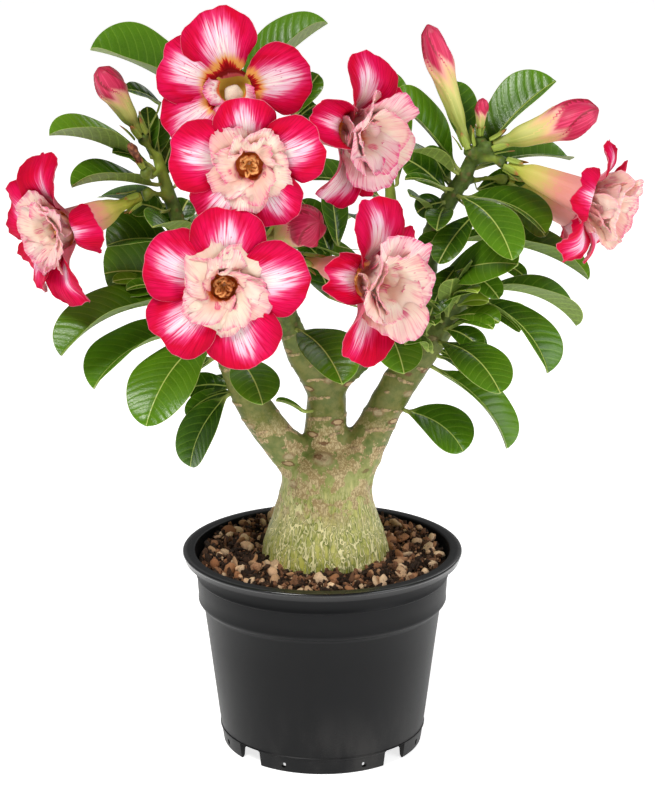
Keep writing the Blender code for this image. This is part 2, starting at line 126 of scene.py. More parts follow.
class LeafSettings(bpy.types.PropertyGroup):
    top: colour("Top", "Colour of a leaf's upper side where it is darkest", (0.012, 0.050, 0.0020))
    # The bright top colour is reached partly through the painted sheen on the upper side and partly through
    # each leaf's own brightness.
    bright: colour("Top, bright", "Colour of a leaf's upper side where it is brightest", (0.10, 0.245, 0.006))
    young: colour("Young", "Colour of the youngest leaves", (0.27, 0.40, 0.025))
    under: colour("Underside", "Colour of a leaf's underside", (0.21, 0.31, 0.055))
    rib: colour("Midrib", "Colour of the midrib and the margin", (0.52, 0.62, 0.15))
    thickness: length("Thickness", "Thickness of the blade", 0.55)
    vein_gap: length("Vein spacing", "Distance between side veins", 4.2)


class FlowerSettings(bpy.types.PropertyGroup):
    crimson: colour("Crimson", "Colour of the petals' margins", (0.60, 0.0008, 0.028))
    pale: colour("Pale centre", "Colour of the petals' centres", (0.90, 0.58, 0.70))
    cream: colour("Cream", "Colour of the inner whorl", (0.86, 0.46, 0.33))
    throat: colour("Throat", "Colour of the throat", (0.28, 0.004, 0.008))
    tube_foot: colour("Tube foot", "Colour of the tube by the calyx", (0.50, 0.56, 0.07))
    tube_top: colour("Tube top", "Colour of the tube by the petals", (0.83, 0.34, 0.26))
    thickness: length("Petal thickness", "Thickness of a petal", 0.4)


class BudSettings(bpy.types.PropertyGroup):
    head: colour("Head", "Colour of the furled petals", (0.60, 0.010, 0.075))
    seam: colour("Seam", "Colour of the furled petals' margins", (0.30, 0.003, 0.02))
    tube: colour("Tube", "Colour of the tube", (0.62, 0.60, 0.17))
    lap: length("Lap", "Height of one petal's edge over the next", 1.1)


class StageSettings(bpy.types.PropertyGroup):
    floor: colour("Floor", "Colour of the floor", (0.93, 0.93, 0.93))
    distance: FloatProperty(
        name="Camera distance", description="Camera to the pot's axis, along the floor", default=1.0,
        unit="LENGTH", subtype="DISTANCE")
    height: FloatProperty(
        name="Camera height", description="Camera above the floor", default=0.4385,
        unit="LENGTH", subtype="DISTANCE")
    pitch: FloatProperty(
        name="Camera pitch", description="Camera's tilt below the horizon", default=math.radians(15.2),
        unit="ROTATION", subtype="ANGLE")
    lens: FloatProperty(
        name="Lens", description="Focal length", default=103.08, unit="CAMERA", subtype="DISTANCE_CAMERA")


# ---------------------------------------------------------------- finishes


class Value:
    """A shader value that Python's operators work on, each adding the Math node that it stands for."""

    def __init__(self, finish, socket):
        self.finish = finish
        self.socket = socket

    def math(self, operation, *others):
        return self.finish.node("ShaderNodeMath", {"operation": operation}, dict(enumerate((self, *others))))

    def __add__(self, other):
        return self.math("ADD", other)

    def __mul__(self, other):
        return self.math("MULTIPLY", other)

    def __sub__(self, other):
        return self.math("SUBTRACT", other)

    def __rsub__(self, other):
        return self.math("MULTIPLY", -1.0) + other

    def __truediv__(self, other):
        return self.math("DIVIDE", other)

    def __rtruediv__(self, other):
        return self.math("POWER", -1.0) * other

    __radd__ = __add__
    __rmul__ = __mul__

    def absolute(self):
        return self.math("ABSOLUTE")

    def step(self, low, high):
        """0 below low, 1 above high, and smooth between them; it falls instead where low is the greater."""
        return self.finish.node(
            "ShaderNodeMapRange", {"interpolation_type": "SMOOTHSTEP"},
            {"Value": self, "From Min": low, "From Max": high, "To Min": 0.0, "To Max": 1.0})


class Nodes:
    """A node tree in the making."""

    def __init__(self, tree):
        self.tree = tree

    def node(self, kind, settings=None, values=None, output=0):
        """Any node: its settings come first, and then the values or links of its sockets."""
        node = self.tree.nodes.new(kind)
        for name, value in (settings or {}).items():
            if name == "stops":
                ramp = node.color_ramp
                while len(ramp.elements) < len(value):
                    ramp.elements.new(1.0)
                for element, (position, shade) in zip(ramp.elements, value):
                    element.position = position
                    element.color = (*shade, 1.0)
            else:
                setattr(node, name, value)
        for key, value in (values or {}).items():
            if isinstance(value, Value):
                self.tree.links.new(value.socket, node.inputs[key])
            elif node.inputs[key].type == "RGBA":
                node.inputs[key].default_value = (*value[:3], 1.0)
            else:
                node.inputs[key].default_value = value
        return Value(self, node.outputs[output]) if len(node.outputs) else None


class Finish(Nodes):
    """A node material in the making."""

    def __init__(self, name):
        self.material = bpy.data.materials.new(name)
        self.material.use_nodes = True
        self.material.node_tree.nodes.clear()
        super().__init__(self.material.node_tree)

    def tag(self, name):
        """A number stored on the mesh's points."""
        return self.node("ShaderNodeAttribute", {"attribute_name": name}, output=2)

    def place(self, x=1.0, y=1.0, z=1.0):
        """Object coordinates in millimetres, stretched along each axis."""
        spot = self.node("ShaderNodeTexCoord", output=3)
        return self.node(
            "ShaderNodeVectorMath", {"operation": "MULTIPLY"}, {0: spot, 1: (x / MM, y / MM, z / MM)})

    def vector(self, x=0.0, y=0.0, z=0.0):
        return self.node("ShaderNodeCombineXYZ", values={0: x, 1: y, 2: z})

    def height(self):
        """Height over the floor in millimetres."""
        return self.node("ShaderNodeSeparateXYZ", values={0: self.place()}, output=2)

    def noise(self, spot, scale, detail=2.0, roughness=0.5):
        return self.node("ShaderNodeTexNoise", values={
            "Vector": spot, "Scale": scale, "Detail": detail, "Roughness": roughness})

    def streaks(self, x, y, z, detail=3.0):
        """Noise over three numbers at once, drawn out where one of them is scaled up less than another."""
        return self.noise(self.vector(x, y, z), 1.0, detail, 0.6)

    def ribbing(self, around, way):
        """Fine lengthwise lines round a tube, from the angle round it and a number along it."""
        return self.streaks(around.math("SINE") * 9.0, around.math("COSINE") * 9.0, way)

    def cells(self, spot, scale, feature="F1"):
        return self.node("ShaderNodeTexVoronoi", {"feature": feature}, {"Vector": spot, "Scale": scale})

    def blend(self, share, first, second):
        """The first colour, giving way to the second as share goes from 0 to 1."""
        return self.node(
            "ShaderNodeMix", {"data_type": "RGBA", "clamp_factor": True}, {0: share, 6: first, 7: second}, 2)

    def ramp(self, value, stops):
        return self.node("ShaderNodeValToRGB", {"stops": stops}, {0: value})

    def bump(self, height, distance, strength=1.0):
        """A bump whose full height is a distance in millimetres."""
        return self.node(
            "ShaderNodeBump", values={"Height": height, "Distance": distance * MM, "Strength": strength})

    def finish(self, **sockets):
        """The Principled shader at the end, with its sockets named by words, as in base_color."""
        titles = {name: name.replace("_", " ").title().replace("Ior", "IOR") for name in sockets}
        values = {titles[name]: value for name, value in sockets.items()}
        shader = self.node("ShaderNodeBsdfPrincipled", values=values)
        self.node("ShaderNodeOutputMaterial", values={"Surface": shader})
        return self.material


def tint(shade, amount):
    """A colour made lighter (above 1) or darker."""
    return tuple(min(1.0, c * amount) for c in shade)


# ---------------------------------------------------------------- shapes


def smooth(value, low, high):
    """0 below low, 1 above high, and smooth between them, as Value.step is."""
    t = np.clip((np.asarray(value, float) - low) / (high - low), 0.0, 1.0)
    return t * t * (3 - 2 * t)


def unit(vectors):
    vectors = np.asarray(vectors, float)
    return vectors / np.maximum(np.linalg.norm(vectors, axis=-1, keepdims=True), 1e-12)


def curve(knots, points):
    """A smooth curve through points, as a function of the knots' parameter."""
    knots, points = np.asarray(knots, float), np.asarray(points, float)
    slopes = np.gradient(points, knots, axis=0)

    def at(t):
        t = np.atleast_1d(np.asarray(t, float))
        i = np.clip(np.searchsorted(knots, t, side="right") - 1, 0, len(knots) - 2)
        span = knots[i + 1] - knots[i]
        x = ((t - knots[i]) / span).reshape((-1,) + (1,) * (points.ndim - 1))
        span = span.reshape(x.shape)
        return (
            (2 * x**3 - 3 * x**2 + 1) * points[i] + (x**3 - 2 * x**2 + x) * span * slopes[i]
            + (-2 * x**3 + 3 * x**2) * points[i + 1] + (x**3 - x**2) * span * slopes[i + 1])

    return at


def wobble(points, size, seed=0.0):
    """Smooth noise from -1 to 1 at each point, for bumps of that size."""
    flat = np.asarray(points, float).reshape(-1, 3) / size + seed
    return np.array([noise.noise(p) for p in flat]).reshape(np.shape(points)[:-1])


def merged(node):
    """A CAD node's mesh in millimetres, as a bmesh with its doubled corners merged."""
    bm = bmesh.new()
    bm.from_mesh(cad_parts[node].data)
    bmesh.ops.remove_doubles(bm, verts=bm.verts, dist=1e-6)
    bmesh.ops.scale(bm, verts=bm.verts, vec=(1 / MM,) * 3)
    return bm


def around(vert):
    return [edge.other_vert(vert) for edge in vert.link_edges]


def onion(start):
    """The corners of a closed mesh in layers, by how many edges away from the start they are."""
    layers, seen = [{start}], {start}
    while layers[-1]:
        layers.append({other for vert in layers[-1] for other in around(vert)} - seen)
        seen |= layers[-1]
    return layers[:-1]


def blunt(vert):
    """How far a corner stands out from its neighbours."""
    ring = around(vert)
    return (vert.co - sum((v.co for v in ring), Vector()) / len(ring)).length


def loops(node, sides):
    """The rings of a lofted CAD node, from its blunter end on, each as an array in order round the node."""
    bm = merged(node)
    onions = [onion(v) for v in bm.verts if len(v.link_edges) == sides]
    deepest = max(len(layers) for layers in onions)
    layers = min((o for o in onions if len(o) == deepest), key=lambda o: blunt(next(iter(o[0]))))
    rings = []
    for layer in layers:
        order, left = [min(layer, key=lambda v: v.index)], set(layer)
        left.discard(order[0])
        while left:
            order.append(next(v for v in around(order[-1]) if v in left))
            left.discard(order[-1])
        rings.append(np.array([v.co for v in order]))
    bm.free()
    return rings


class Mesh:
    """Points, faces and point tags of a piece in the making, in millimetres."""

    def __init__(self):
        self.points, self.faces, self.tags, self.count = [], [], {}, 0

    def add(self, points, faces, **tags):
        """Points and the faces between them; a tag is a number for each point, 0 where it isn't given."""
        points = np.asarray(points, float).reshape(-1, 3)
        self.faces += [tuple(self.count + i for i in face) for face in faces]
        for name in set(tags) | set(self.tags):
            values = np.broadcast_to(np.asarray(tags.get(name, 0.0), float).ravel(), len(points))
            self.tags.setdefault(name, [np.zeros(self.count)] if self.count else []).append(values)
        self.points.append(points)
        self.count += len(points)

    def sheet(self, front, back, **tags):
        """A closed shell between two grids of points; each tag is a number or a grid of the same size."""
        rows, columns = front.shape[:2]
        last = rows * columns
        corners = [(0, 0), (1, 0), (1, 1), (0, 1)]
        faces = []
        for start in (i * columns + j for i in range(rows - 1) for j in range(columns - 1)):
            face = [start + i * columns + j for i, j in corners]
            faces += [face, [last + face[k] for k in (0, 3, 2, 1)]]
        rim = [(i, 0) for i in range(rows)]
        rim += [(rows - 1, j) for j in range(1, columns)]
        rim += [(i, columns - 1) for i in range(rows - 2, -1, -1)]
        rim += [(0, j) for j in range(columns - 2, 0, -1)]
        rim = [i * columns + j for i, j in rim]
        faces += [(a, last + a, last + b, b) for a, b in zip(rim, rim[1:] + rim[:1])]
        under = np.repeat((0.0, 1.0), last)
        both = {name: np.tile(np.ravel(grid * np.ones((rows, columns))), 2) for name, grid in tags.items()}
        self.add(np.concatenate([front.reshape(-1, 3), back.reshape(-1, 3)]), faces, under=under, **both)

    def rings(self, rings, **tags):
        """A skin over rings of equal count, with a point in the middle of each end.

        A tag is one number, a number for each ring, or a number for each point."""
        rings = np.asarray(rings, float)
        rows, sides = rings.shape[:2]
        first, last, end = rows * sides, rows * sides + 1, (rows - 1) * sides
        points = np.concatenate([rings.reshape(-1, 3), [rings[0].mean(0), rings[-1].mean(0)]])
        beside = [(k, (k + 1) % sides) for k in range(sides)]
        starts = range(0, end, sides)
        faces = [(r + a, r + b, r + sides + b, r + sides + a) for r in starts for a, b in beside]
        faces += [(first, b, a) for a, b in beside]
        faces += [(end + a, end + b, last) for a, b in beside]
        values = {}
        for name, value in tags.items():
            value = np.asarray(value, float) * np.ones(rows if np.size(value) == 1 else 1)
            value = np.repeat(value, sides) if value.size == rows else value.ravel()
            values[name] = np.concatenate([value, [value[:sides].mean(), value[-sides:].mean()]])
        self.add(points, faces, **values)

    def piece(self, name, material, slot, replaces=()):
        """The finished piece: one object at the origin, facing out, riding on the plant's body."""
        mesh = bpy.data.meshes.new(name)
        mesh.from_pydata(np.concatenate(self.points) * MM, [], self.faces)
        tag_points(mesh, {tag: np.concatenate(parts) for tag, parts in self.tags.items()})
        face_out(mesh)
        return show(name, mesh, material, replaces)


def tag_points(mesh, tags):
    """Stores numbers on a mesh's points for its material to read."""
    for name, values in tags.items():
        layer = mesh.attributes.new(name, "FLOAT", "POINT")
        layer.data.foreach_set("value", values.astype(np.float32))


def face_out(mesh):
    """Turns every face of a closed mesh outwards."""
    bm = bmesh.new()
    bm.from_mesh(mesh)
    bmesh.ops.recalc_face_normals(bm, faces=bm.faces)
    bm.to_mesh(mesh)
    bm.free()


def place(name, data):
    """A new object in the scene, at the origin."""
    item = bpy.data.objects.new(name, data)
    bpy.context.scene.collection.objects.link(item)
    return item


def worked(item):
    """The plain mesh that an object's modifiers make of it; the object itself goes."""
    mesh = bpy.data.meshes.new_from_object(item.evaluated_get(bpy.context.evaluated_depsgraph_get()))
    bpy.data.objects.remove(item)
    return mesh


def show(name, mesh, material, replaces=()):
    """A mesh as a smooth piece that rides on the plant's body and stands for CAD nodes."""
    mesh.shade_smooth()
    mesh.materials.append(material)
    piece = place(name, mesh)
    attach(piece, BODY)
    if replaces:
        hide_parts(*replaces)
    return piece


# ---------------------------------------------------------------- leaves

LEAF_SHARES = (0.0, 0.1, 0.25, 0.45, 0.65, 0.82, 0.94, 1.0)
WIDEST = 4
CAD_THICKNESS = 1.1
TRIM = 1.07
ROOT_DEPTH = 0.8
STEEP_FOLD = 0.35
LEVELLING = 0.75
STEEPER = 1.7
PETIOLE = 0.95
COLUMNS = np.array([0.0, 0.04, 0.1, 0.19, 0.3, 0.42, 0.55, 0.68, 0.8, 0.9, 0.97, 1.0])
QUILT, GROOVE, RIB = 0.11, 0.3, 0.85
VEIN_SWEEP, VEIN_CURVE = 0.42, 0.028
DROOP_STEPS = 40


def blade(share):
    """Half the blade's width, 0 to 1, at a share of its length: a wedge at the stalk and a blunt tip."""
    share = np.clip(share, 0.0, 1.0)
    return share**1.15 * (1 - share) ** 0.58 / 0.3316


# How a leaf's blade differs from its CAD node's: its width and length as shares, and its turn to the front
BLADES = {
    "upper_face": (0.85, 1.0, 0.0), "left_top": (1.0, 0.92, 0.0), "left_front": (1.1, 0.9, 0.0),
    "left_behind": (1.3, 1.0, 0.0), "left_mid": (1.45, 1.0, 0.3), "left_wide": (1.5, 1.0, 1.4),
    "left_curled": (1.8, 1.0, 0.3), "left_broad": (0.86, 1.0, 0.0), "left_under": (1.2, 1.0, 0.5),
    "left_hanging": (1.3, 1.0, 0.0), "left_upright": (1.0, 1.0, 0.5), "crown_left": (1.3, 1.0, 0.3),
    "crown_right": (1.35, 1.0, 0.15), "upper_tall": (1.05, 1.06, 0.8), "upper_back": (1.3, 1.0, 0.3),
    "upper_side": (1.2, 1.0, 0.2), "upper_dark": (1.3, 1.0, 0.4), "upper_right": (1.3, 1.0, 0.2),
    "middle_front": (0.92, 1.0, 0.0), "middle_right": (1.15, 1.05, 0.2), "right_low": (1.4, 1.0, 0.2),
    "upper_upright": (1.1, 1.0, 0.5), "upper_big": (1.1, 1.0, 0.3), "right_narrow": (1.2, 1.0, 0.2),
    "inner_left": (1.3, 1.0, 0.4),
}

FILLER_SEEDS = 200

# Small leaves that fill the clusters: the place on the stem, then the heading, lift, droop, length and width,
# the fold, the roll, and how bright it is, from 0 to 1 and on to 1.9 for a red bract
FILLERS = {
    "behind_bud": ((-76, 2, 275), 110, 80, 10, 24, 10, 0.3, -30, 0.1),
    "by_left_stem": ((-73, 6, 263), 50, 70, 15, 22, 10, 0.3, 30, 0.1),
    "left_small_low": ((-76, -2, 273), 205, 40, 40, 20, 9, 0.3, -30, 0.3),
    "under_tube": ((-70, -2, 252), 160, 25, 40, 18, 13, 0.2, -50, 0.35),
    "left_dark": ((-65, 0, 245), 50, 70, 30, 14, 12, 0.2, 40, 0.0),
    "left_pale_low": ((-77, 4, 219), 210, 20, 30, 20, 8, 0.4, -30, 1.0),
    "left_fold_low": ((-69, 0, 215), 205, 35, 60, 22, 8, 0.6, -20, 0.6),
    "stem_left": ((-60, 2, 234), 140, 65, 25, 24, 13, 0.3, -40, 0.1),
    "low_dark": ((-41, 2, 170), 165, 10, 40, 24, 13, 0.2, -50, 0.05),
    "low_pale": ((-40, 2, 168), 190, 0, 60, 26, 10, 0.5, -35, 0.5),
    "low_dark_more": ((-42, 6, 175), 155, -25, 50, 26, 14, 0.2, -40, 0.0),
    "trunk_thin": ((-7, -8, 161), 210, 40, 30, 18, 5, 0.7, -20, 0.6),
    "crown_low_left": ((-71, 6, 299), 210, 40, 35, 20, 11, 0.4, -30, 0.2),
    "crown_far": ((-12, 4, 294), 30, 65, 20, 22, 13, 0.4, 35, 0.7),
    "crown_under": ((-14, 6, 289), 25, 50, 30, 16, 12, 0.3, 40, 0.1),
    "middle_dark": ((4, 10, 227), 150, 75, 35, 32, 17, 0.2, -20, 0.05),
    "middle_dark_low": ((4, 6, 222), 170, 60, 30, 22, 16, 0.2, -40, 0.0),
    "middle_dark_right": ((7, 10, 233), 110, 80, 25, 28, 16, 0.2, 20, 0.1),
    "middle_shadow": ((4, 10, 209), 135, 70, 30, 20, 16, 0.2, -20, 0.0),
    "upper_behind": ((58, 10, 261), 155, 65, 25, 22, 11, 0.3, -35, 0.1),
    "upper_shadow": ((56, 4, 260), 170, 50, 30, 26, 15, 0.2, -50, 0.0),
    "upper_stripe": ((55, -4, 263), 190, 35, 45, 20, 7, 0.6, -20, 0.5),
    "upper_low_shadow": ((55, 2, 256), 170, -5, 40, 14, 14, 0.2, -50, 0.0),
    "upper_hanging": ((61, 4, 246), 195, -50, 40, 18, 12, 0.3, -30, 0.05),
    "upper_middle": ((69, 8, 260), 20, 25, 35, 26, 12, 0.2, 45, 0.1),
    "upper_yellow": ((80, 10, 253), 345, -10, 50, 26, 12, 0.3, 40, 1.0),
    "upper_low_pale": ((77, 14, 226), 345, 0, 50, 18, 8, 0.3, 40, 0.8),
    "upper_first": ((67, 14, 273), 40, 40, 20, 16, 8, 0.3, 35, 0.3),
    "tip_cover": ((44, -8, 204), 200, 70, 40, 22, 8, 0.4, -30, 1.1),
    "tip_cover_low": ((50, -9, 206), 330, 60, 60, 26, 9, 0.4, 20, 0.9),
    "tip_cover_front": ((46, -10, 198), 280, 55, 70, 24, 9, 0.35, 0, 0.7),
    "tip_cover_side": ((58, -9, 212), 300, 50, 60, 24, 9, 0.4, 10, 1.2),
    "tip_cover_back": ((52, -2, 212), 150, 65, 40, 26, 10, 0.4, -30, 0.4),
    "branch_face": ((48, -9, 190), 240, 50, 70, 26, 10, 0.3, -20, 0.3),
    "branch_low": ((42, -10, 184), 200, 45, 60, 24, 10, 0.3, -30, 0.05),
    "branch_right": ((56, -9, 200), 320, 40, 70, 28, 10, 0.4, 20, 0.8),
    "stem_face": ((69, -2, 252), 225, -25, 30, 32, 15, 0.25, -20, 0.05),
    "stem_low_face": ((63, 2, 229), 230, -25, 40, 32, 14, 0.3, -25, 0.1),
    "stem_left_face": ((61, 4, 240), 205, 5, 40, 20, 12, 0.3, -30, 0.5),
    "stem_right_face": ((63, 0, 226), 320, -10, 40, 24, 12, 0.3, 30, 0.7),
    "branch_one": ((58, -8, 205), 325, 25, 50, 26, 12, 0.3, 30, 0.9),
    "branch_two": ((55, -8, 200), 320, 5, 55, 22, 12, 0.3, 30, 0.3),
    "branch_three": ((53, -10, 204), 220, 65, 30, 16, 10, 0.4, -20, 0.9),
    "branch_four": ((50, -8, 189), 225, 60, 30, 16, 9, 0.4, -20, 0.2),
    "branch_five": ((56, -10, 206), 280, 75, 25, 22, 11, 0.35, 10, 0.6),
    "branch_six": ((60, -8, 212), 325, 80, 25, 22, 11, 0.35, 20, 0.15),
    "tip_bract": ((63, -5, 216), 330, 55, 10, 8, 3, 0.6, 20, 1.9),
    "tip_bract_two": ((66, -6, 214), 20, 40, 10, 8, 3, 0.6, 20, 1.9),
    "tip_bract_three": ((61, -8, 218), 250, 75, 10, 7, 3, 0.6, 0, 1.9),
    "tip_one": ((63, -4, 212), 340, 40, 45, 20, 8, 0.4, 35, 1.3),
    "tip_two": ((61, -6, 213), 330, 60, 35, 18, 7, 0.4, 30, 1.4),
    "tip_three": ((60, -4, 213), 310, 80, 20, 16, 6, 0.4, 20, 1.4),
    "tip_four": ((58, -6, 212), 230, 65, 30, 12, 6, 0.5, -20, 1.2),
    "tip_five": ((61, -8, 211), 330, 30, 40, 16, 7, 0.4, 45, 1.2),
    "tip_six": ((58, -6, 209), 220, 40, 40, 14, 6, 0.5, -30, 1.0),
    "tip_seven": ((63, -6, 210), 345, 5, 60, 30, 9, 0.5, 30, 0.95),
    "right_under": ((58, 0, 198), 20, -10, 50, 22, 11, 0.3, 40, 0.1),
    "right_low_dark": ((52, 2, 188), 5, -20, 50, 24, 11, 0.3, 40, 0.1),
    "right_inner": ((54, 4, 194), 140, 70, 25, 18, 12, 0.3, -30, 0.05),
    "right_stalk": ((52, -6, 187), 335, 0, 50, 16, 7, 0.6, 25, 0.4),
}


class Vane:
    """A leaf's midrib with its sideways and upward directions, as curves of the share of its length."""

    def __init__(self, shares, mid, side, above, half_width, fold):
        self.mid, self.side, self.above = curve(shares, mid), curve(shares, side), curve(shares, above)
        self.length = np.linalg.norm(np.diff(mid, axis=0), axis=1).sum()
        self.half_width, self.fold = half_width, fold


def same_way(vectors, guides):
    """Vectors, each turned round where it points against its guide."""
    return vectors * np.sign((vectors * guides).sum(1))[:, None]


def across_grain(vectors, along):
    """Vectors with what lies along the grain taken out, row by row."""
    return unit(vectors - along * (vectors * along).sum(1)[:, None])


def vane_of(node):
    """A CAD leaf's vane: each of its rings has an edge, a keel, an edge and a crest.

    The rings are found from the widest outwards, each turned as its neighbour is."""
    rings = loops(node, 4)
    tip, rings = rings[-1][0], rings[1:-1]
    spans = [ring[2] - ring[0] for ring in rings]
    if np.linalg.norm(rings[WIDEST][3] - rings[WIDEST][1]) > np.linalg.norm(spans[WIDEST]):
        spans[WIDEST] = rings[WIDEST][3] - rings[WIDEST][1]
        rings[WIDEST] = np.roll(rings[WIDEST], -1, axis=0)
    side, mids, above = {WIDEST: unit(spans[WIDEST])}, [None] * len(rings), [None] * len(rings)
    for i in [*range(WIDEST, len(rings)), *range(WIDEST - 1, -1, -1)]:
        near = side[WIDEST] if i == WIDEST else side[i - 1 if i > WIDEST else i + 1]
        first, second = rings[i][2] - rings[i][0], rings[i][3] - rings[i][1]
        if i != WIDEST and abs(unit(second) @ near) > abs(unit(first) @ near):
            rings[i], first = np.roll(rings[i], -1, axis=0), second
        side[i] = unit(first) * (1 if first @ near >= 0 else -1)
        mids[i] = (rings[i][1] + rings[i][3]) / 2
        above[i] = unit(rings[i][3] - rings[i][1])
    edge = (rings[WIDEST][0] + rings[WIDEST][2]) / 2 - mids[WIDEST]
    above[WIDEST] *= 1 if above[WIDEST] @ edge >= 0 else -1
    for i in [*range(WIDEST + 1, len(rings)), *range(WIDEST - 1, -1, -1)]:
        near = above[i - 1 if i > WIDEST else i + 1]
        above[i] *= 1 if above[i] @ near >= 0 else -1
    reach = np.linalg.norm(rings[WIDEST][2] - rings[WIDEST][0]) / 2
    fold = np.linalg.norm(edge) / max(1.0, reach - CAD_THICKNESS)
    wider, longer, front = BLADES.get(node.removeprefix("leaf_"), (1.0, 1.0, 0.0))
    mids = np.array([*mids, tip])
    mids = mids[0] + (mids - mids[0]) * longer
    sides = np.array([side[i] for i in (*range(len(rings)), len(rings) - 1)])
    tops = np.array([*above, above[-1]])
    along = unit(np.gradient(mids, axis=0))
    if fold > STEEP_FOLD:
        level = unit(np.cross((0.0, 0.0, 1.0), along))
        sides = unit(sides * (1 - LEVELLING) + same_way(level, sides) * LEVELLING)
        tops = same_way(np.cross(along, sides), tops)
        tops[-1] = tops[-2]
        fold *= STEEPER
    if front:
        tops = across_grain(unit(tops) + front * np.array((0.0, -1.0, 0.0)), along)
        sides = same_way(np.cross(tops, along), sides)
        tops[-1] = tops[-2]
    half_width = TRIM * wider * reach / blade(LEAF_SHARES[WIDEST])
    return Vane(LEAF_SHARES, mids, sides, tops, half_width, fold)


def young_vane(base, heading, lift, droop, size, width, fold, roll):
    """A small leaf's vane from its place, its heading and lift at the stem, and its droop to the tip."""
    fine = np.linspace(0.0, 1.0, DROOP_STEPS + 1)
    rise = np.radians(lift - droop * fine**1.3)
    turn, lean = math.radians(heading), math.radians(roll)
    along = np.stack([np.cos(rise) * math.cos(turn), np.cos(rise) * math.sin(turn), np.sin(rise)], 1)
    steps = np.cumsum((along[1:] + along[:-1]) / 2, axis=0) * size / DROOP_STEPS
    steps = np.concatenate([[np.zeros(3)], steps])
    mid, forward = (
        np.array([np.interp(LEAF_SHARES, fine, track[:, k]) for k in range(3)]).T for track in (steps, along))
    forward = unit(forward)
    level = np.array([-math.sin(turn), math.cos(turn), 0.0])
    side = level * math.cos(lean) + np.cross(forward, level) * math.sin(lean)
    return Vane(LEAF_SHARES, mid + base, side, np.cross(forward, side), width / 2, fold)


def grow_leaf(name, vane, wood, settings, material, seed, replaces=(), shade=None):
    """A blade grooved over its midrib, quilted between its side veins, on a stalk that enters the wood."""
    rng = np.random.default_rng(seed)
    rows = int(np.clip(vane.length * 0.9, 20, 60))
    q = np.linspace(0.0, 1.0, rows)
    share = 0.55 * q + 0.45 * (1 - np.cos(math.pi * q)) / 2
    share[-1] = 0.9995
    t = np.concatenate([-COLUMNS[:0:-1], COLUMNS])
    mid, side, above = vane.mid(share), unit(vane.side(share)), unit(vane.above(share))
    foot, normal = wood.find_nearest(Vector(mid[0]))[:2]
    root = np.array(foot) - np.array(normal) * ROOT_DEPTH
    mid[0] = root
    mid[1] += (root - mid[1]) * 0.25
    way = share * vane.length
    wide = np.maximum(blade(share) * vane.half_width, PETIOLE * smooth(0.5 - share, 0.0, 0.4))
    wide *= 1 + 0.03 * np.sin(way / 5.0 + rng.uniform(0, 6))
    wide = np.maximum(wide, 0.15)
    x = t[None, :] * wide[:, None]
    stalk = 1 - smooth(share, 0.02, 0.17)[:, None]
    flat = 1 - stalk
    lie = vane.fold * (np.sqrt(x**2 + 2.2) - 1.48)
    lie -= 0.3 * min(vane.fold, 0.5) * x**2 / max(vane.half_width, 1.0)
    wave = rng.uniform(0.35, 0.75)
    wave *= np.sin(way[:, None] / rng.uniform(4.5, 6.5) + rng.uniform(0, 6) + 1.3 * np.sign(t))
    lie += wave * np.abs(t) ** 2.2 * smooth(vane.half_width, 3.0, 9.0)
    vein = (way[:, None] - VEIN_SWEEP * np.abs(x) - VEIN_CURVE * x**2) / (settings.vein_gap / MM)
    quilt = 0.5 - 0.5 * np.cos(math.tau * vein)
    lie += QUILT * quilt * np.sin(math.pi * np.abs(t)) * smooth(vane.half_width, 3.0, 8.0)
    lie -= GROOVE * np.exp(-(x / 0.8) ** 2)
    lie *= flat
    rib = (RIB * (1 - share) + 0.2)[:, None] * np.exp(-(x / 1.1) ** 2) * flat
    petiole = PETIOLE * np.sqrt(1 - t**2) * stalk
    half = settings.thickness / MM / 2 * (1 - 0.72 * t**2) * flat + petiole
    centre = mid[:, None, :] + side[:, None, :] * x[..., None]
    front = centre + above[:, None, :] * (lie + half)[..., None]
    back = centre + above[:, None, :] * (lie - half - rib)[..., None]
    mesh = Mesh()
    mesh.sheet(
        front, back, rib=x, way=way[:, None], margin=wide[:, None] - np.abs(x), stalk=stalk, vein=vein,
        shade=rng.uniform(0, 0.95) if shade is None else shade)
    return mesh.piece(name, material, "leaf", replaces)


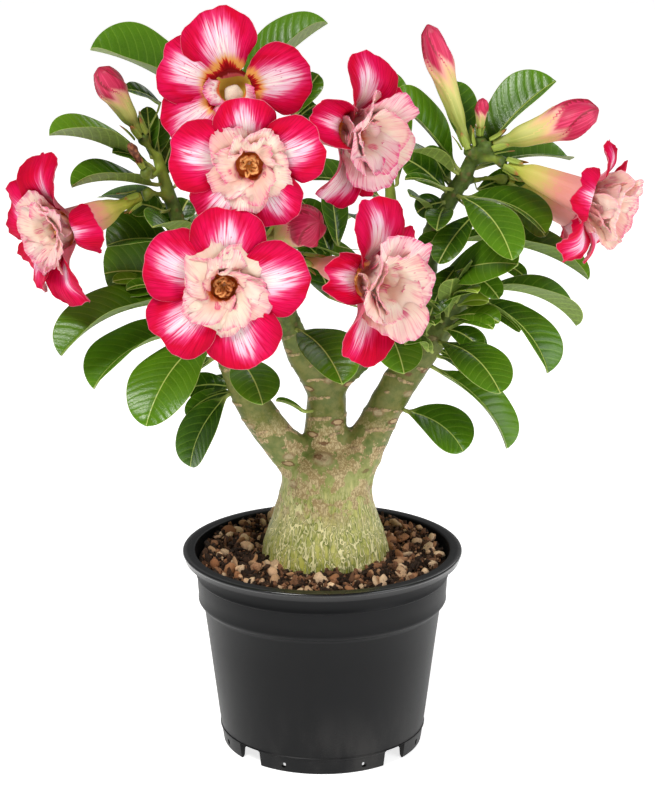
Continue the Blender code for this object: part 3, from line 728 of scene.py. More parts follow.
def leaf_finish(settings):
    """Glossy and dark above, matt and pale beneath, with a yellow-green midrib, side veins and margin."""
    bract, side_vein = (0.28, 0.05, 0.02), (0.20, 0.36, 0.03)
    f = Finish("leaf_blade")
    rib, way, margin, shade = f.tag("rib").absolute(), f.tag("way"), f.tag("margin"), f.tag("shade")
    vein, under, stalk = f.tag("vein"), f.tag("under"), f.tag("stalk")
    side = f.vector(f.tag("rib") * 0.06, way * 0.05, shade * 40.0)
    drift = f.noise(side, 3.0)
    fine = f.noise(f.place(), 0.9, 3.0)
    outward = rib / (rib + margin + 0.01)
    # Painted sheen: the upper side is made lighter towards the tip and the margin and in broad noise patches,
    # standing in for soft reflected light; shade adds each leaf's own brightness.
    light = (way * 0.012 + outward * 0.3 + (drift - 0.5) * 0.5) * 0.7
    top = f.blend(light.step(0.0, 0.6) * 0.62 + shade * 0.38, settings.top, settings.bright)
    top = f.blend(shade.step(0.8, 1.4), top, settings.young)
    top = f.blend(shade.step(1.6, 1.9), top, bract)
    below = f.blend(fine.step(0.3, 0.7), settings.under, tint(settings.under, 0.75))
    crest = ((vein + f.noise(side, 8.0) * 0.12).math("FRACT") - 0.5).absolute()
    line = crest.step(0.40, 0.485) * (1 - outward.step(0.75, 1.0) * 0.6)
    net = f.cells(f.place(), 0.7, "DISTANCE_TO_EDGE").step(0.12, 0.0)
    base = f.blend(line * 0.32 + net * 0.08, top, side_vein)
    base = f.blend(under, base, f.blend(line * 0.5, below, tint(settings.under, 1.7)))
    middle = (rib + way * 0.003).step(0.5, 0.2) * (1 - under * 0.4)
    edge = margin.step(0.34, 0.08) * 0.6
    base = f.blend(middle.math("MAXIMUM", edge) * 0.9, base, settings.rib)
    base = f.blend(stalk, base, f.blend(under, tint(settings.rib, 0.62), tint(settings.rib, 0.75)))
    height = crest.step(0.5, 0.1) * (0.55 - under * 0.25) + fine * 0.25 - net * 0.1
    return f.finish(
        base_color=base, roughness=0.17 + fine * 0.12 + under * 0.3, normal=f.bump(height, 0.22, 0.8),
        specular_ior_level=0.3)


# ---------------------------------------------------------------- flowers

THROAT_RING = 4
PETAL_RINGS, LOBE_RINGS = (4, 5, 6, 7), (13, 14, 15)
FLOWER_SIDES = 20
FAN_STEPS = 31
PETAL_SEEDS, WHORL_SEEDS, STAMEN_SEEDS, SEPAL_SEEDS = 0, 100, 500, 700


def circle(points):
    """The centre, radius and normal of the circle through points in one plane."""
    middle = points.mean(0)
    spokes = points - middle
    terms = np.column_stack([2 * spokes, np.ones(len(points))])
    offset = np.linalg.lstsq(terms, (spokes**2).sum(1), rcond=None)[0][:3]
    centre = middle + offset
    return centre, np.linalg.norm(points - centre, axis=1).mean(), np.linalg.svd(spokes)[2][2]


class Bloom:
    """An open flower's own frame, from its CAD node: its tube, its throat and its petals' centre lines."""

    def __init__(self, node):
        rings = loops(node, FLOWER_SIDES)
        self.base = rings[0][0]
        self.throat, self.radius, axis = circle(rings[THROAT_RING])
        self.axis = axis * (1 if axis @ (self.throat - self.base) > 0 else -1)
        self.right = unit(np.cross((0, 0, 1), self.axis))
        self.up = np.cross(self.axis, self.right)
        self.tube = [circle(ring)[0] for ring in rings[2:THROAT_RING + 1]]
        ordered = {k: rings[k][np.argsort(self.clock(rings[k]))] for k in PETAL_RINGS + LOBE_RINGS}
        reach = np.linalg.norm(self.flat(ordered[PETAL_RINGS[-1]]), axis=1)
        notch = min(range(4), key=lambda k: reach[k::4].sum())
        tips = [(notch + 2 + 4 * k) % FLOWER_SIDES for k in range(5)]
        self.petals = sorted(self.line(ordered, PETAL_RINGS, k) for k in tips)
        self.lobes = sorted(self.line(ordered, LOBE_RINGS, k) for k in range(notch, FLOWER_SIDES, 4))

    def flat(self, points):
        """Each point's place across the throat, to the right and up."""
        spokes = points - self.throat
        return np.stack([spokes @ self.right, spokes @ self.up], 1)

    def spoke(self, turn):
        """The direction out from the axis at a clock angle, or at each of several."""
        return self.right * np.cos(turn)[..., None] + self.up * np.sin(turn)[..., None]

    def clock(self, points):
        right, up = self.flat(points).T
        return np.arctan2(up, right) % math.tau

    def line(self, rings, stations, column):
        """A petal's clock angle, and its centre line's reach from the axis and height over the throat."""
        points = np.array([rings[k][column] for k in stations])
        reach = np.linalg.norm(self.flat(points), axis=1)
        return float(self.clock(points)[-1]), tuple(zip(reach, (points - self.throat) @ self.axis))


SPREAD = {
    "fan": 50.0, "root": 5.2, "lobe": 0.42, "cup": 0.3, "reflex": 2.0, "tilt": 1.6, "ruffle": 0.9,
    "waves": 2.5, "crumple": 0.9, "twist": 0.0, "grow": 1.0, "fold": 0.0,
}
FRILL = {
    "fan": 46.0, "root": 3.9, "lobe": 0.4, "cup": 1.2, "reflex": 3.2, "tilt": 2.6, "ruffle": 2.0,
    "waves": 2.0, "crumple": 2.2, "twist": 0.0, "grow": 1.0, "fold": 0.0,
}


def leaned(line, lean, grow):
    """A petal's centre line turned away from the axis by an angle, more at its tip, and grown."""
    stations = np.array(line)
    steps = np.diff(stations, axis=0)
    bend = np.linspace(0.4, 1.0, len(steps)) * math.radians(lean)
    steps = np.stack([
        steps[:, 0] * np.cos(bend) + steps[:, 1] * np.sin(bend),
        steps[:, 1] * np.cos(bend) - steps[:, 0] * np.sin(bend)], 1)
    return np.concatenate([stations[:1], stations[0] + np.cumsum(steps, axis=0) * grow])


def petal(mesh, bloom, clock, line, thickness, seed, shape, lean=0.0, **tags):
    """One petal: a fan that leaves the throat along its centre line, then cups, waves and curls back.

    lean turns its centre line towards the axis (below 0) or away from it, in degrees."""
    rng = np.random.default_rng(seed)
    stations = leaned(line, lean, shape["grow"])
    knots = np.concatenate([[0.0], np.cumsum(np.linalg.norm(np.diff(stations, axis=0), axis=1))])
    size = knots[-1]
    at = curve(knots, stations)
    rows = int(np.clip(size, 14, 30))
    tau = np.linspace(-1.0, 1.0, FAN_STEPS)[None, :] * 0.49 * math.pi
    u = np.sin(tau)
    v = np.linspace(0.0, 1.0, rows)[:, None] ** 0.9
    edge = 1 + 0.018 * np.sin(u * 7.0 + rng.uniform(0, 6)) + 0.012 * np.sin(u * 17.0 + rng.uniform(0, 6))
    turn = u * math.radians(shape["fan"]) * (1 + rng.uniform(-0.08, 0.08))
    lobe = shape["lobe"] * (1 + rng.uniform(-0.08, 0.08))
    notch = 0.03 * np.exp(-(u / 0.12) ** 2)
    far = size * ((1 - lobe) * np.cos(turn) + lobe * np.cos(tau) - notch) * edge
    x = shape["root"] * u * (1 - 0.35 * v) + v * far * np.sin(turn)
    y = v * far * np.cos(turn)
    ends = np.clip(y, 0.0, size)
    spot = at(ends.ravel()).reshape(*ends.shape, 2)
    step = at(np.clip(ends + 0.2, 0, size).ravel()) - at(np.clip(ends - 0.2, 0, size).ravel())
    step = unit(step.reshape(*ends.shape, 2))
    phase = rng.uniform(0, math.tau, 3)
    margin = smooth(np.maximum(v, np.abs(u) * (0.4 + 0.6 * v)), 0.45, 1.0)
    rise = shape["cup"] * u**2 * size / 10 * smooth(v, 0.1, 0.8)
    rise = rise - shape["reflex"] * smooth(v, 0.6, 1.0) * (1 - 0.5 * u**2)
    rise += shape["tilt"] * u * smooth(v, 0.1, 0.7)
    rise += shape["ruffle"] * margin * np.sin(shape["waves"] * math.pi * u + phase[0]) * (0.4 + 0.6 * v)
    rise += 0.3 * shape["ruffle"] * margin**3 * np.sin(4.6 * shape["waves"] * math.pi * u + 4 * v + phase[1])
    rise += shape["fold"] * np.exp(-((u - 0.15) / 0.28) ** 2) * smooth(v, 0.2, 0.8)
    rise -= 0.45 * np.exp(-(x / 1.8) ** 2) * (1 - v) * smooth(v, 0.0, 0.2)
    grain = np.stack([x, y, np.full(x.shape, seed * 3.7)], -1)
    rise += shape["crumple"] * wobble(grain, 9.0, seed * 1.3) * smooth(v, 0.1, 0.5)
    reach = spot[..., 0] - step[..., 1] * rise
    height = spot[..., 1] + step[..., 0] * rise
    free = smooth(v, 0.0, 0.55)
    around = (1 - free) * x / np.maximum(spot[..., 0], 4.0) + math.radians(shape["twist"]) * v * u
    grid = bloom.throat + bloom.axis * height[..., None]
    grid = grid + bloom.spoke(clock + around) * reach[..., None]
    grid += bloom.spoke(clock + around + math.pi / 2) * (free * x)[..., None]
    normal = unit(np.cross(np.gradient(grid, axis=1), np.gradient(grid, axis=0)))
    outward = bloom.axis * step[..., :1] - bloom.spoke(np.array(clock)) * step[..., 1:]
    normal *= np.where((normal * outward).sum(-1).mean() < 0, -1.0, 1.0)
    near = v * size * (1 - lobe) * math.radians(shape["fan"]) + shape["root"]
    rim = np.minimum((1 - v) * far, (1 - np.abs(u)) * near)
    half = (thickness / 2 * (0.45 + 0.55 * smooth(rim, 0.0, 2.5)))[..., None]
    tone = rng.uniform(0, 1)
    mesh.sheet(grid + normal * half, grid - normal * half, along=v, across=u, rim=rim, tone=tone, **tags)


# What sets each flower apart: its petals' own shapes by number, and its inner whorl's layers, each as
# (turn, lean, shape)
PETAL_SHAPES = {
    "flower_top": {4: {"fan": 34.0, "reflex": 0.6}},
    "flower_far_left": {
        0: {"fan": 30.0, "cup": -1.2, "reflex": 5.0, "pale": -0.25},
        1: {"fan": 32.0, "reflex": 4.5, "cup": 2.0, "pale": -0.3},
        2: {"fan": 38.0, "ruffle": 1.8, "pale": -0.1},
        3: {"fan": 36.0, "cup": 1.6, "ruffle": 1.6, "pale": -0.15},
        4: {"fan": 32.0, "reflex": 4.0, "cup": 2.2, "pale": -0.2},
    },
    "flower_far_right": {
        0: {"fan": 38.0}, 1: {"fan": 32.0, "reflex": 4.0}, 2: {"fan": 40.0, "ruffle": 1.8, "reflex": 4.5},
        3: {"fan": 38.0, "ruffle": 1.6, "reflex": 5.0}, 4: {"fan": 38.0, "cup": 1.8},
    },
    "flower_upper_right": {
        0: {"fan": 40.0}, 1: {"fan": 44.0, "cup": 2.2, "fold": -1.5},
        2: {"fan": 20.0, "cup": 3.6, "lobe": 0.3}, 3: {"fan": 14.0, "cup": 2.4, "lobe": 0.25, "pale": 0.6},
        4: {"fan": 30.0, "ruffle": 2.2},
    },
    "flower_lower_right": {
        1: {"fan": 52.0, "cup": 1.6}, 2: {"fan": 26.0, "cup": 2.5, "ruffle": 2.4, "waves": 3.4},
        3: {"fan": 34.0, "cup": 2.6, "reflex": -1.5}, 4: {"fan": 15.0, "cup": 1.0, "pale": 0.6},
    },
}
WHORLS = {
    "flower_top": [
        (0.0, 26.0, {
            "fan": 40.0, "grow": 1.25, "ruffle": 1.6, "reflex": 0.6, "crumple": 1.2, "only": (2, 3, 4)}),
    ],
    "flower_middle": [
        (0.0, 8.0, {"grow": 0.96, "reflex": 3.4, "ruffle": 2.6}),
        (30.0, -26.0, {"fan": 42.0, "grow": 0.82, "cup": 2.8, "crumple": 3.0, "only": (0, 1, 3, 4)}),
        (0.0, -54.0, {"fan": 44.0, "grow": 0.62, "reflex": 3.0, "only": (1,)}),
    ],
    "flower_front": [
        (0.0, 16.0, {"grow": 1.12, "reflex": 4.0}),
        (30.0, -14.0, {"fan": 42.0, "grow": 0.95, "cup": 2.2}),
        (8.0, -40.0, {"fan": 34.0, "grow": 0.6, "reflex": 2.6, "only": (0, 1, 3)}),
    ],
    "flower_upper_right": [
        (0.0, -2.0, {"grow": 1.02, "fan": 48.0, "ruffle": 1.5, "crumple": 1.3}),
        (36.0, -24.0, {"grow": 0.8, "fan": 42.0, "cup": 2.8, "ruffle": 1.8, "crumple": 1.6}),
        (10.0, -44.0, {"grow": 0.5, "fan": 34.0, "only": (0, 2, 4)}),
    ],
    "flower_lower_right": [
        (0.0, 0.0, {"grow": 1.0, "fan": 44.0, "ruffle": 1.8, "crumple": 1.5}),
        (36.0, -22.0, {"grow": 0.86, "fan": 40.0, "cup": 2.8, "ruffle": 2.0, "crumple": 1.8}),
        (14.0, -46.0, {"grow": 0.5, "fan": 34.0, "only": (0, 1, 4)}),
    ],
    "flower_far_left": [
        (0.0, -6.0, {"grow": 0.9, "fan": 42.0, "ruffle": 1.6, "crumple": 1.4}),
        (30.0, -26.0, {"grow": 0.8, "fan": 40.0, "cup": 2.6, "ruffle": 1.7, "crumple": 1.6}),
        (10.0, -46.0, {"grow": 0.5, "fan": 32.0, "only": (0, 2, 3)}),
    ],
    "flower_far_right": [
        (0.0, -10.0, {"grow": 0.8, "fan": 46.0, "ruffle": 1.3, "crumple": 1.2, "reflex": 2.4}),
        (36.0, -26.0, {"grow": 0.74, "fan": 42.0, "cup": 2.6, "ruffle": 1.2, "crumple": 1.2}),
        (16.0, -44.0, {"grow": 0.5, "cup": 1.6, "only": (0, 2, 3)}),
    ],
    "flower_hidden_right": [(0.0, 0.0, {"ruffle": 0.6, "reflex": 0.4})],
}
# How strong the dark star round the throat is, how pink the inner whorl is, and how early the tube turns red
STAR = {"flower_top": 1.0, "flower_middle": 0.35}
PINK = {
    "flower_upper_right": 0.5, "flower_lower_right": 0.45, "flower_far_right": 0.15, "flower_far_left": 0.3,
    "flower_front": 0.2, "flower_middle": 0.15, "flower_top": 0.9,
}
TUBE_WARMTH = {
    "flower_lower_right": 0.35, "flower_far_right": -0.06, "flower_hidden_right": -0.1,
    "flower_far_left": -0.1,
}


def outer_petals(node, bloom, number, settings, material):
    """The five outer petals, each with one margin over its neighbour's."""
    mesh = Mesh()
    for k, (clock, line) in enumerate(bloom.petals):
        shape = SPREAD | PETAL_SHAPES.get(node, {}).get(k, {})
        petal(
            mesh, bloom, clock, line, settings.thickness / MM, PETAL_SEEDS + 10 * number + k, shape,
            star=STAR.get(node, 0.0), pale=shape.get("pale", 0.0))
    return mesh.piece(node.replace("flower_", "petals_"), material, "petals", [node])


def inner_whorl(node, bloom, number, settings, material):
    """The ruffled petals inside, in one to three layers round the throat."""
    mesh = Mesh()
    for layer, (turn, lean, change) in enumerate(WHORLS[node]):
        shape = FRILL | change
        for k, (clock, line) in enumerate(bloom.lobes):
            if k not in shape.get("only", range(5)):
                continue
            seed = WHORL_SEEDS + 20 * number + 5 * layer + k
            rng = np.random.default_rng(seed)
            own = shape | {"grow": shape["grow"] * rng.uniform(0.92, 1.08), "twist": rng.uniform(-6, 6)}
            petal(
                mesh, bloom, clock + math.radians(turn + rng.uniform(-5, 5)), line, settings.thickness / MM,
                seed, own, lean + rng.uniform(-4, 4), pink=PINK.get(node, 0.0))
    return mesh.piece(node.replace("flower_", "whorl_"), material, "petals")


TUBE_SIDES = 60
TUBE_SHARES = (0.0, 0.22, 0.6, 1.0)
# The tube's radius at shares of its length, up to the throat, which is as wide as the CAD's
TUBE_PROFILE = ((0.0, 2.1), (0.1, 2.6), (0.19, 2.9), (0.27, 4.4), (0.45, 5.8), (0.7, 7.2), (1.0, None))
# The throat's lining down to its floor: its radius as a share of the throat's, and its depth
THROAT_PROFILE = (
    (0.985, 0.42), (0.93, 0.98), (0.85, 2.1), (0.76, 3.5), (0.6, 4.9), (0.44, 6.02), (0.2, 6.58))


def flower_tube(node, bloom, material):
    """The trumpet: a ribbed tube outside, and inside it the throat, down to its floor."""
    centre = curve(TUBE_SHARES, [bloom.base, *bloom.tube])
    shares = [share for share, _ in TUBE_PROFILE]
    radius = curve(shares, [[size or bloom.radius] for _, size in TUBE_PROFILE])
    way = np.linspace(0.0, 1.0, 28)
    route, size = centre(way), radius(way)[:, 0]
    blend = smooth(way, 0.5, 1.0)[:, None]
    along = unit(unit(np.gradient(route, axis=0)) * (1 - blend) + bloom.axis * blend)
    inner, depth = np.array(THROAT_PROFILE).T
    route = np.concatenate([route, bloom.throat - bloom.axis * depth[:, None]])
    size = np.concatenate([size, bloom.radius * inner])
    along = np.concatenate([along, np.tile(bloom.axis, (len(inner), 1))])
    side = unit(bloom.right - along * (along @ bloom.right)[:, None])
    top = np.cross(along, side)
    a = np.arange(TUBE_SIDES) * math.tau / TUBE_SIDES
    outside = np.concatenate([way, np.ones(len(inner))])
    ribs = 1 + 0.035 * np.cos(5 * a) * np.sin(math.pi * np.clip(outside, 0, 0.95))[:, None]
    spokes = side[:, None] * np.cos(a)[:, None] + top[:, None] * np.sin(a)[:, None]
    mesh = Mesh()
    mesh.rings(
        route[:, None] + spokes * (size[:, None] * ribs)[..., None], way=outside,
        depth=np.concatenate([np.zeros(len(way)), depth]), around=np.tile(a, len(route)),
        warm=TUBE_WARMTH.get(node, 0.1), star=float(STAR.get(node, 0.0) > 0.5))
    return mesh.piece(node.replace("flower_", "tube_"), material, "petals")


def strand(mesh, route, radius, sides=8, **tags):
    """A round strand along a route, tapered by its list of radii."""
    route, radius = np.asarray(route, float), np.asarray(radius, float)
    along = unit(np.gradient(route, axis=0))
    across = np.array(Vector(along[0]).orthogonal().normalized())
    a = np.arange(sides) * math.tau / sides
    rings = []
    for point, forward, r in zip(route, along, radius):
        across = unit(across - forward * (across @ forward))
        beside = np.cross(forward, across)
        rings.append(point + (across * np.cos(a)[:, None] + beside * np.sin(a)[:, None]) * r)
    mesh.rings(rings, **tags)


AWNS, AWN_RADIUS = 16, 0.8
AWN_FLOOR, AWN_REACH = -8.5, 12.5
KNOB_RADIUS, KNOB_HEIGHT, KNOB_DROP = 4.1, 6.4, 2.4
CONE_RADIUS, CONE_HEIGHT = 2.2, 5.5


def stamens(node, bloom, number, material):
    """Curly awns that rise from the throat's floor round a blunt cone of anthers.

    In the topmost flower the anthers close into a pale knob instead."""
    mesh = Mesh()
    rng = np.random.default_rng(STAMEN_SEEDS + number)
    s = np.linspace(0.0, 1.0, 26)
    knob = node == "flower_top"
    for k in range(0 if knob else AWNS):
        a = math.tau * k / AWNS + rng.uniform(-0.4, 0.4)
        curl = rng.uniform(0.8, 1.9) * rng.choice([-1, 1])
        r = AWN_RADIUS + rng.uniform(3.0, 5.6) * s**1.3 * (1 - rng.uniform(0.1, 0.8) * smooth(s, 0.7, 1.0))
        h = AWN_FLOOR + AWN_REACH * s**0.7 * rng.uniform(0.7, 1.1) - 2.5 * smooth(s, 0.75, 1.0)
        route = bloom.throat + bloom.spoke(a + curl * s**2) * r[:, None] + bloom.axis * h[:, None]
        strand(mesh, route, AWN_RADIUS - 0.4 * s, way=s)
    q = np.linspace(0.02, 0.98, 14)
    if knob:
        size, top = KNOB_RADIUS * np.sin(math.pi * q) ** 0.55, -5.6 + KNOB_HEIGHT * q
    else:
        size, top = CONE_RADIUS * (1 - q) ** 0.6 + 0.2, -9.2 + CONE_HEIGHT * q
    a = np.arange(30) * math.tau / 30
    lobes = 1 + 0.05 * np.cos(5 * a)
    middle = bloom.throat - bloom.up * (KNOB_DROP if knob else 0.0)
    rings = middle + bloom.axis * top[:, None, None] + bloom.spoke(a) * (size[:, None] * lobes)[..., None]
    mesh.rings(rings, way=q, knob=1.0 if knob else 0.4)
    return mesh.piece(node.replace("flower_", "stamens_"), material, "petals")


def sepals(name, bases, material):
    """Five pointed sepals round the foot of each tube; a base is (point, direction, radius, size)."""
    mesh = Mesh()
    v = np.linspace(0.0, 1.0, 12)[:, None]
    u = np.linspace(-1.0, 1.0, 9)[None, :]
    for number, (point, forward, radius, size) in enumerate(bases):
        rng = np.random.default_rng(SEPAL_SEEDS + number)
        across = np.array(Vector(forward).orthogonal().normalized())
        beside = np.cross(forward, across)
        for k in range(5):
            a = math.tau * k / 5 + rng.uniform(-0.15, 0.15)
            long = size * rng.uniform(0.9, 1.15)
            wide = 0.2 * size * (1 - v) ** 0.8 * (0.8 + 1.1 * v) + 0.04
            out = radius * (1.0 + 0.35 * v) + 0.15 + rng.uniform(0.0, 0.9) * v**2.5
            turn = a + u * wide / radius
            normal = across * np.cos(turn)[..., None] + beside * np.sin(turn)[..., None]
            spot = point + forward * ((v - 0.12) * long)[..., None] + normal * out[..., None]
            thick = (0.28 * (1 - 0.8 * u**2) * (1 - 0.6 * v))[..., None]
            tone = rng.uniform(0, 1)
            mesh.sheet(spot + normal * thick, spot - normal * (thick + 0.15), way=v, across=u, tone=tone)
    return mesh.piece(name, material, "woody_plant")


def petal_finish(settings):
    """Crimson with darker streaks, a feathered white flame up the middle, and a thin pale edge."""
    cerise, white = (0.70, 0.003, 0.075), (0.95, 0.84, 0.80)
    lilac, rose = (0.80, 0.12, 0.33), (0.80, 0.05, 0.22)
    plum, amber, blood = (0.55, 0.03, 0.16), (0.90, 0.45, 0.10), (0.62, 0.02, 0.02)
    margin, outside = (0.90, 0.38, 0.48), (0.95, 0.48, 0.58)
    f = Finish("petal")
    along, across, rim, tone = f.tag("along"), f.tag("across"), f.tag("rim"), f.tag("tone")
    under, star = f.tag("under"), f.tag("star")
    streaks = f.streaks(across * 9.0, along * 1.1, tone * 60.0)
    fine = f.streaks(across * 34.0, along * 2.2, tone * 60.0, 2.0)
    drift = f.noise(f.vector(across * 2.0, along * 2.0, tone * 90.0), 1.0)
    ink = f.blend(drift.step(0.3, 0.7), settings.crimson, cerise)
    ink = f.blend(fine.step(0.45, 0.75) * 0.6, ink, tint(settings.crimson, 0.55))
    rise = along - 0.12
    reach = rise * rise * 1.2 + across.absolute() * 1.25 - 0.08 * tone - f.tag("pale")
    reach = reach + (streaks - 0.5) * 0.75 + (fine - 0.5) * 0.55
    # Painted shade: the crimson darkens towards the far margins and tips.
    ink = f.blend(reach.step(1.0, 1.7) * 0.55, ink, tint(settings.crimson, 0.6))
    flame = reach.step(0.74, 0.36)
    pale = f.blend(reach.step(0.42, 0.08), settings.pale, white)
    pale = f.blend(fine.step(0.44, 0.7) * 0.7, pale, lilac)
    base = f.blend(reach.step(1.0, 0.62) * 0.7, ink, rose)
    base = f.blend(flame, base, pale)
    vein = fine.step(0.56, 0.64) * reach.step(0.15, 0.4) * reach.step(1.0, 0.7)
    base = f.blend(vein * 0.5, base, settings.crimson)
    speck = f.cells(f.vector(across * 12.0, along * 9.0, tone * 60.0), 1.0).step(0.2, 0.07)
    speck = speck * drift.step(0.42, 0.56) * flame * along.step(0.2, 0.4) * along.step(0.8, 0.6)
    base = f.blend(speck * 0.8, base, plum)
    halo = (along + (streaks - 0.5) * 0.3).step(0.36, 0.18) * star
    base = f.blend(halo, base, amber)
    ray = along * 4.4 + across.absolute() * 0.7 + (streaks - 0.5) * 1.6 + (fine - 0.5) * 0.5
    base = f.blend(ray.step(1.0, 0.75) * star, base, f.blend(ray.step(0.35, 0.8), settings.throat, blood))
    edge = (rim + (streaks - 0.5) * 0.5).step(0.3, 0.05)
    base = f.blend(edge * 0.45, base, margin)
    base = f.blend(under, base, f.blend(flame * 0.6 + 0.3, ink, outside))
    return f.finish(
        base_color=base, roughness=0.5 + fine * 0.2, normal=f.bump((fine + streaks) * 0.5, 0.4, 0.7),
        specular_ior_level=0.06, subsurface_weight=0.12, subsurface_radius=(1.0, 0.25, 0.25),
        subsurface_scale=1.5 * MM)


def whorl_finish(settings):
    """Cream to peach, veined, blotched and speckled with magenta, and pinker towards the margins."""
    butter, ivory, shell = (0.98, 0.80, 0.62), (0.98, 0.88, 0.66), (0.98, 0.83, 0.76)
    blush_pink, ochre, coral = (0.88, 0.28, 0.42), (0.86, 0.42, 0.14), (0.86, 0.30, 0.22)
    salmon, outside = (0.93, 0.42, 0.34), (0.94, 0.72, 0.64)
    vein_red, spot_red, blot_red = (0.76, 0.03, 0.17), (0.72, 0.03, 0.20), (0.74, 0.05, 0.20)
    edge_red, rust = (0.78, 0.05, 0.22), (0.80, 0.16, 0.03)
    f = Finish("inner_petal")
    along, across, rim, tone = f.tag("along"), f.tag("across"), f.tag("rim"), f.tag("tone")
    pink = f.tag("pink") * (0.3 + tone.step(0.25, 0.6) * 0.8)
    streaks = f.streaks(across * 8.0, along * 1.2, tone * 60.0)
    fine = f.streaks(across * 30.0, along * 2.6, tone * 60.0, 2.0)
    drift = f.noise(f.vector(across * 1.6, along * 1.8, tone * 90.0), 1.0)
    base = f.blend(drift.step(0.42, 0.72), settings.cream, butter)
    # Ochre towards the throat: partly the whorl's own warmer base, partly painted shade low in the petals
    # where they rise from the throat.
    base = f.blend(along.step(0.45, 0.1) * 0.6, base, ochre)
    base = f.blend(along.step(0.75, 0.35) * drift.step(0.6, 0.4) * 0.85, base, coral)
    base = f.blend(tone.step(0.5, 0.2) * 0.6, base, ivory)
    base = f.blend(tone.step(0.6, 0.95) * along.step(0.95, 0.3) * 0.6, base, salmon)
    base = f.blend(pink * 1.3, base, shell)
    blush = (along * 1.1 + (streaks - 0.5) * 0.9 + pink * 0.35).step(0.75, 1.25)
    base = f.blend(blush * (0.3 + pink * 0.45), base, blush_pink)
    vein = fine.step(0.5, 0.64) * (along + (streaks - 0.5) * 0.5).step(0.5, 0.95) * (0.3 + pink * 0.9)
    base = f.blend(vein * 0.85, base, vein_red)
    speck = f.cells(f.vector(across * 9.0, along * 7.0, tone * 60.0), 1.0).step(0.2, 0.06)
    base = f.blend(speck * drift.step(0.46, 0.58) * 0.85, base, spot_red)
    blot = f.cells(f.vector(across * 2.2, along * 2.6, tone * 40.0), 1.0).step(0.42, 0.22)
    blot = blot * fine.step(0.36, 0.52) * along.step(0.12, 0.26) * along.step(0.85, 0.6)
    base = f.blend(blot * 0.85, base, blot_red)
    edge = (rim + (streaks - 0.5) * 3.0).step(1.9, 0.2) * fine.step(0.34, 0.55)
    base = f.blend(edge * (0.55 + pink * 0.6), base, edge_red)
    # Rust-red at the petals' roots, rust here being only a hue: partly their own colour by the throat, partly
    # painted shade of the throat.
    base = f.blend((along + (streaks - 0.5) * 0.3).step(0.36, 0.08), base, rust)
    base = f.blend(f.tag("under") * 0.3, base, outside)
    return f.finish(
        base_color=base, roughness=0.55 + fine * 0.15, normal=f.bump(fine * 0.5 + streaks * 0.7, 0.4, 0.6),
        specular_ior_level=0.16, subsurface_weight=0.35, subsurface_radius=(1.0, 0.7, 0.6),
        subsurface_scale=2.5 * MM)


def tube_finish(settings):
    """Yellow-green at the calyx, peach and then pink towards the petals, with fine lengthwise lines."""
    straw, pink, crimson = (0.66, 0.55, 0.15), (0.86, 0.36, 0.34), (0.84, 0.16, 0.22)
    peach, orange, ember = (0.96, 0.56, 0.30), (0.95, 0.42, 0.14), (0.86, 0.24, 0.05)
    honey, wine, lemon = (0.90, 0.50, 0.12), (0.42, 0.012, 0.010), (0.80, 0.62, 0.08)
    mustard, gold = (0.70, 0.60, 0.10), (0.80, 0.62, 0.10)
    f = Finish("flower_tube")
    way, depth, around, warm, star = (f.tag(name) for name in ("way", "depth", "around", "warm", "star"))
    lines = f.ribbing(around, way * 1.5)
    mottle = f.noise(f.place(), 0.35, 3.0)
    turn = way + warm + (lines - 0.5) * 0.22 + (mottle - 0.5) * 0.2
    outside = f.ramp(turn, [
        (0.05, settings.tube_foot), (0.34, straw), (0.6, settings.tube_top), (0.85, pink), (1.0, crimson)])
    deep = depth / 9.0 + (lines - 0.5) * 0.12
    inside = f.ramp(deep, [(0.0, peach), (0.3, orange), (0.6, ember), (1.0, honey)])
    rayed = f.ramp(deep, [(0.0, wine), (0.22, settings.throat), (0.3, lemon), (1.0, mustard)])
    ray = (lines + (0.1 - deep) * 0.5).step(0.49, 0.56)
    inside = f.blend(star, inside, f.blend(ray, gold, rayed))
    mouth = (way + (lines - 0.5) * 0.1).step(0.9, 0.94) * star
    outside = f.blend(mouth, outside, settings.throat)
    return f.finish(
        base_color=f.blend(depth.step(0.05, 0.3), outside, inside), roughness=0.42 + mottle * 0.1,
        normal=f.bump(lines + mottle * 0.4, 0.35, 0.6), specular_ior_level=0.2, subsurface_weight=0.05,
        subsurface_radius=(1.0, 0.5, 0.3), subsurface_scale=1.5 * MM)


def stamen_finish():
    """Golden brown and woolly, and cream where the anthers close into a knob."""
    gold, tan, brown = (0.95, 0.52, 0.12), (0.90, 0.52, 0.18), (0.74, 0.32, 0.09)
    cream, fawn = (0.95, 0.86, 0.68), (0.86, 0.58, 0.46)
    f = Finish("stamen")
    wool = f.noise(f.place(), 2.2, 3.0)
    awn = f.ramp(f.tag("way") + (wool - 0.5) * 0.4, [(0.0, gold), (0.5, tan), (1.0, brown)])
    knob = f.blend(wool.step(0.5, 0.68) * 0.6, cream, fawn)
    return f.finish(
        base_color=f.blend(f.tag("knob"), awn, knob), roughness=0.6 + wool * 0.2, normal=f.bump(wool, 0.25))


def sepal_finish(settings):
    """Yellow-green with a midrib and a reddish tip."""
    f = Finish("sepal")
    way, across, tone = f.tag("way"), f.tag("across"), f.tag("tone")
    lines = f.noise(f.vector(across * 6.0, way * 1.5, tone * 30.0), 1.0)
    base = f.blend(lines.step(0.3, 0.7), settings.stalk, tint(settings.stalk, 1.35))
    base = f.blend(across.absolute().step(0.16, 0.04) * 0.6, base, tint(settings.stalk, 0.7))
    tip = (way + (lines - 0.5) * 0.3 + tone * 0.2).step(0.72, 1.05)
    base = f.blend(tip * 0.8, base, (0.45, 0.10, 0.04))
    return f.finish(base_color=base, roughness=0.45 + lines * 0.1, normal=f.bump(lines, 0.2, 0.7))


# ---------------------------------------------------------------- buds

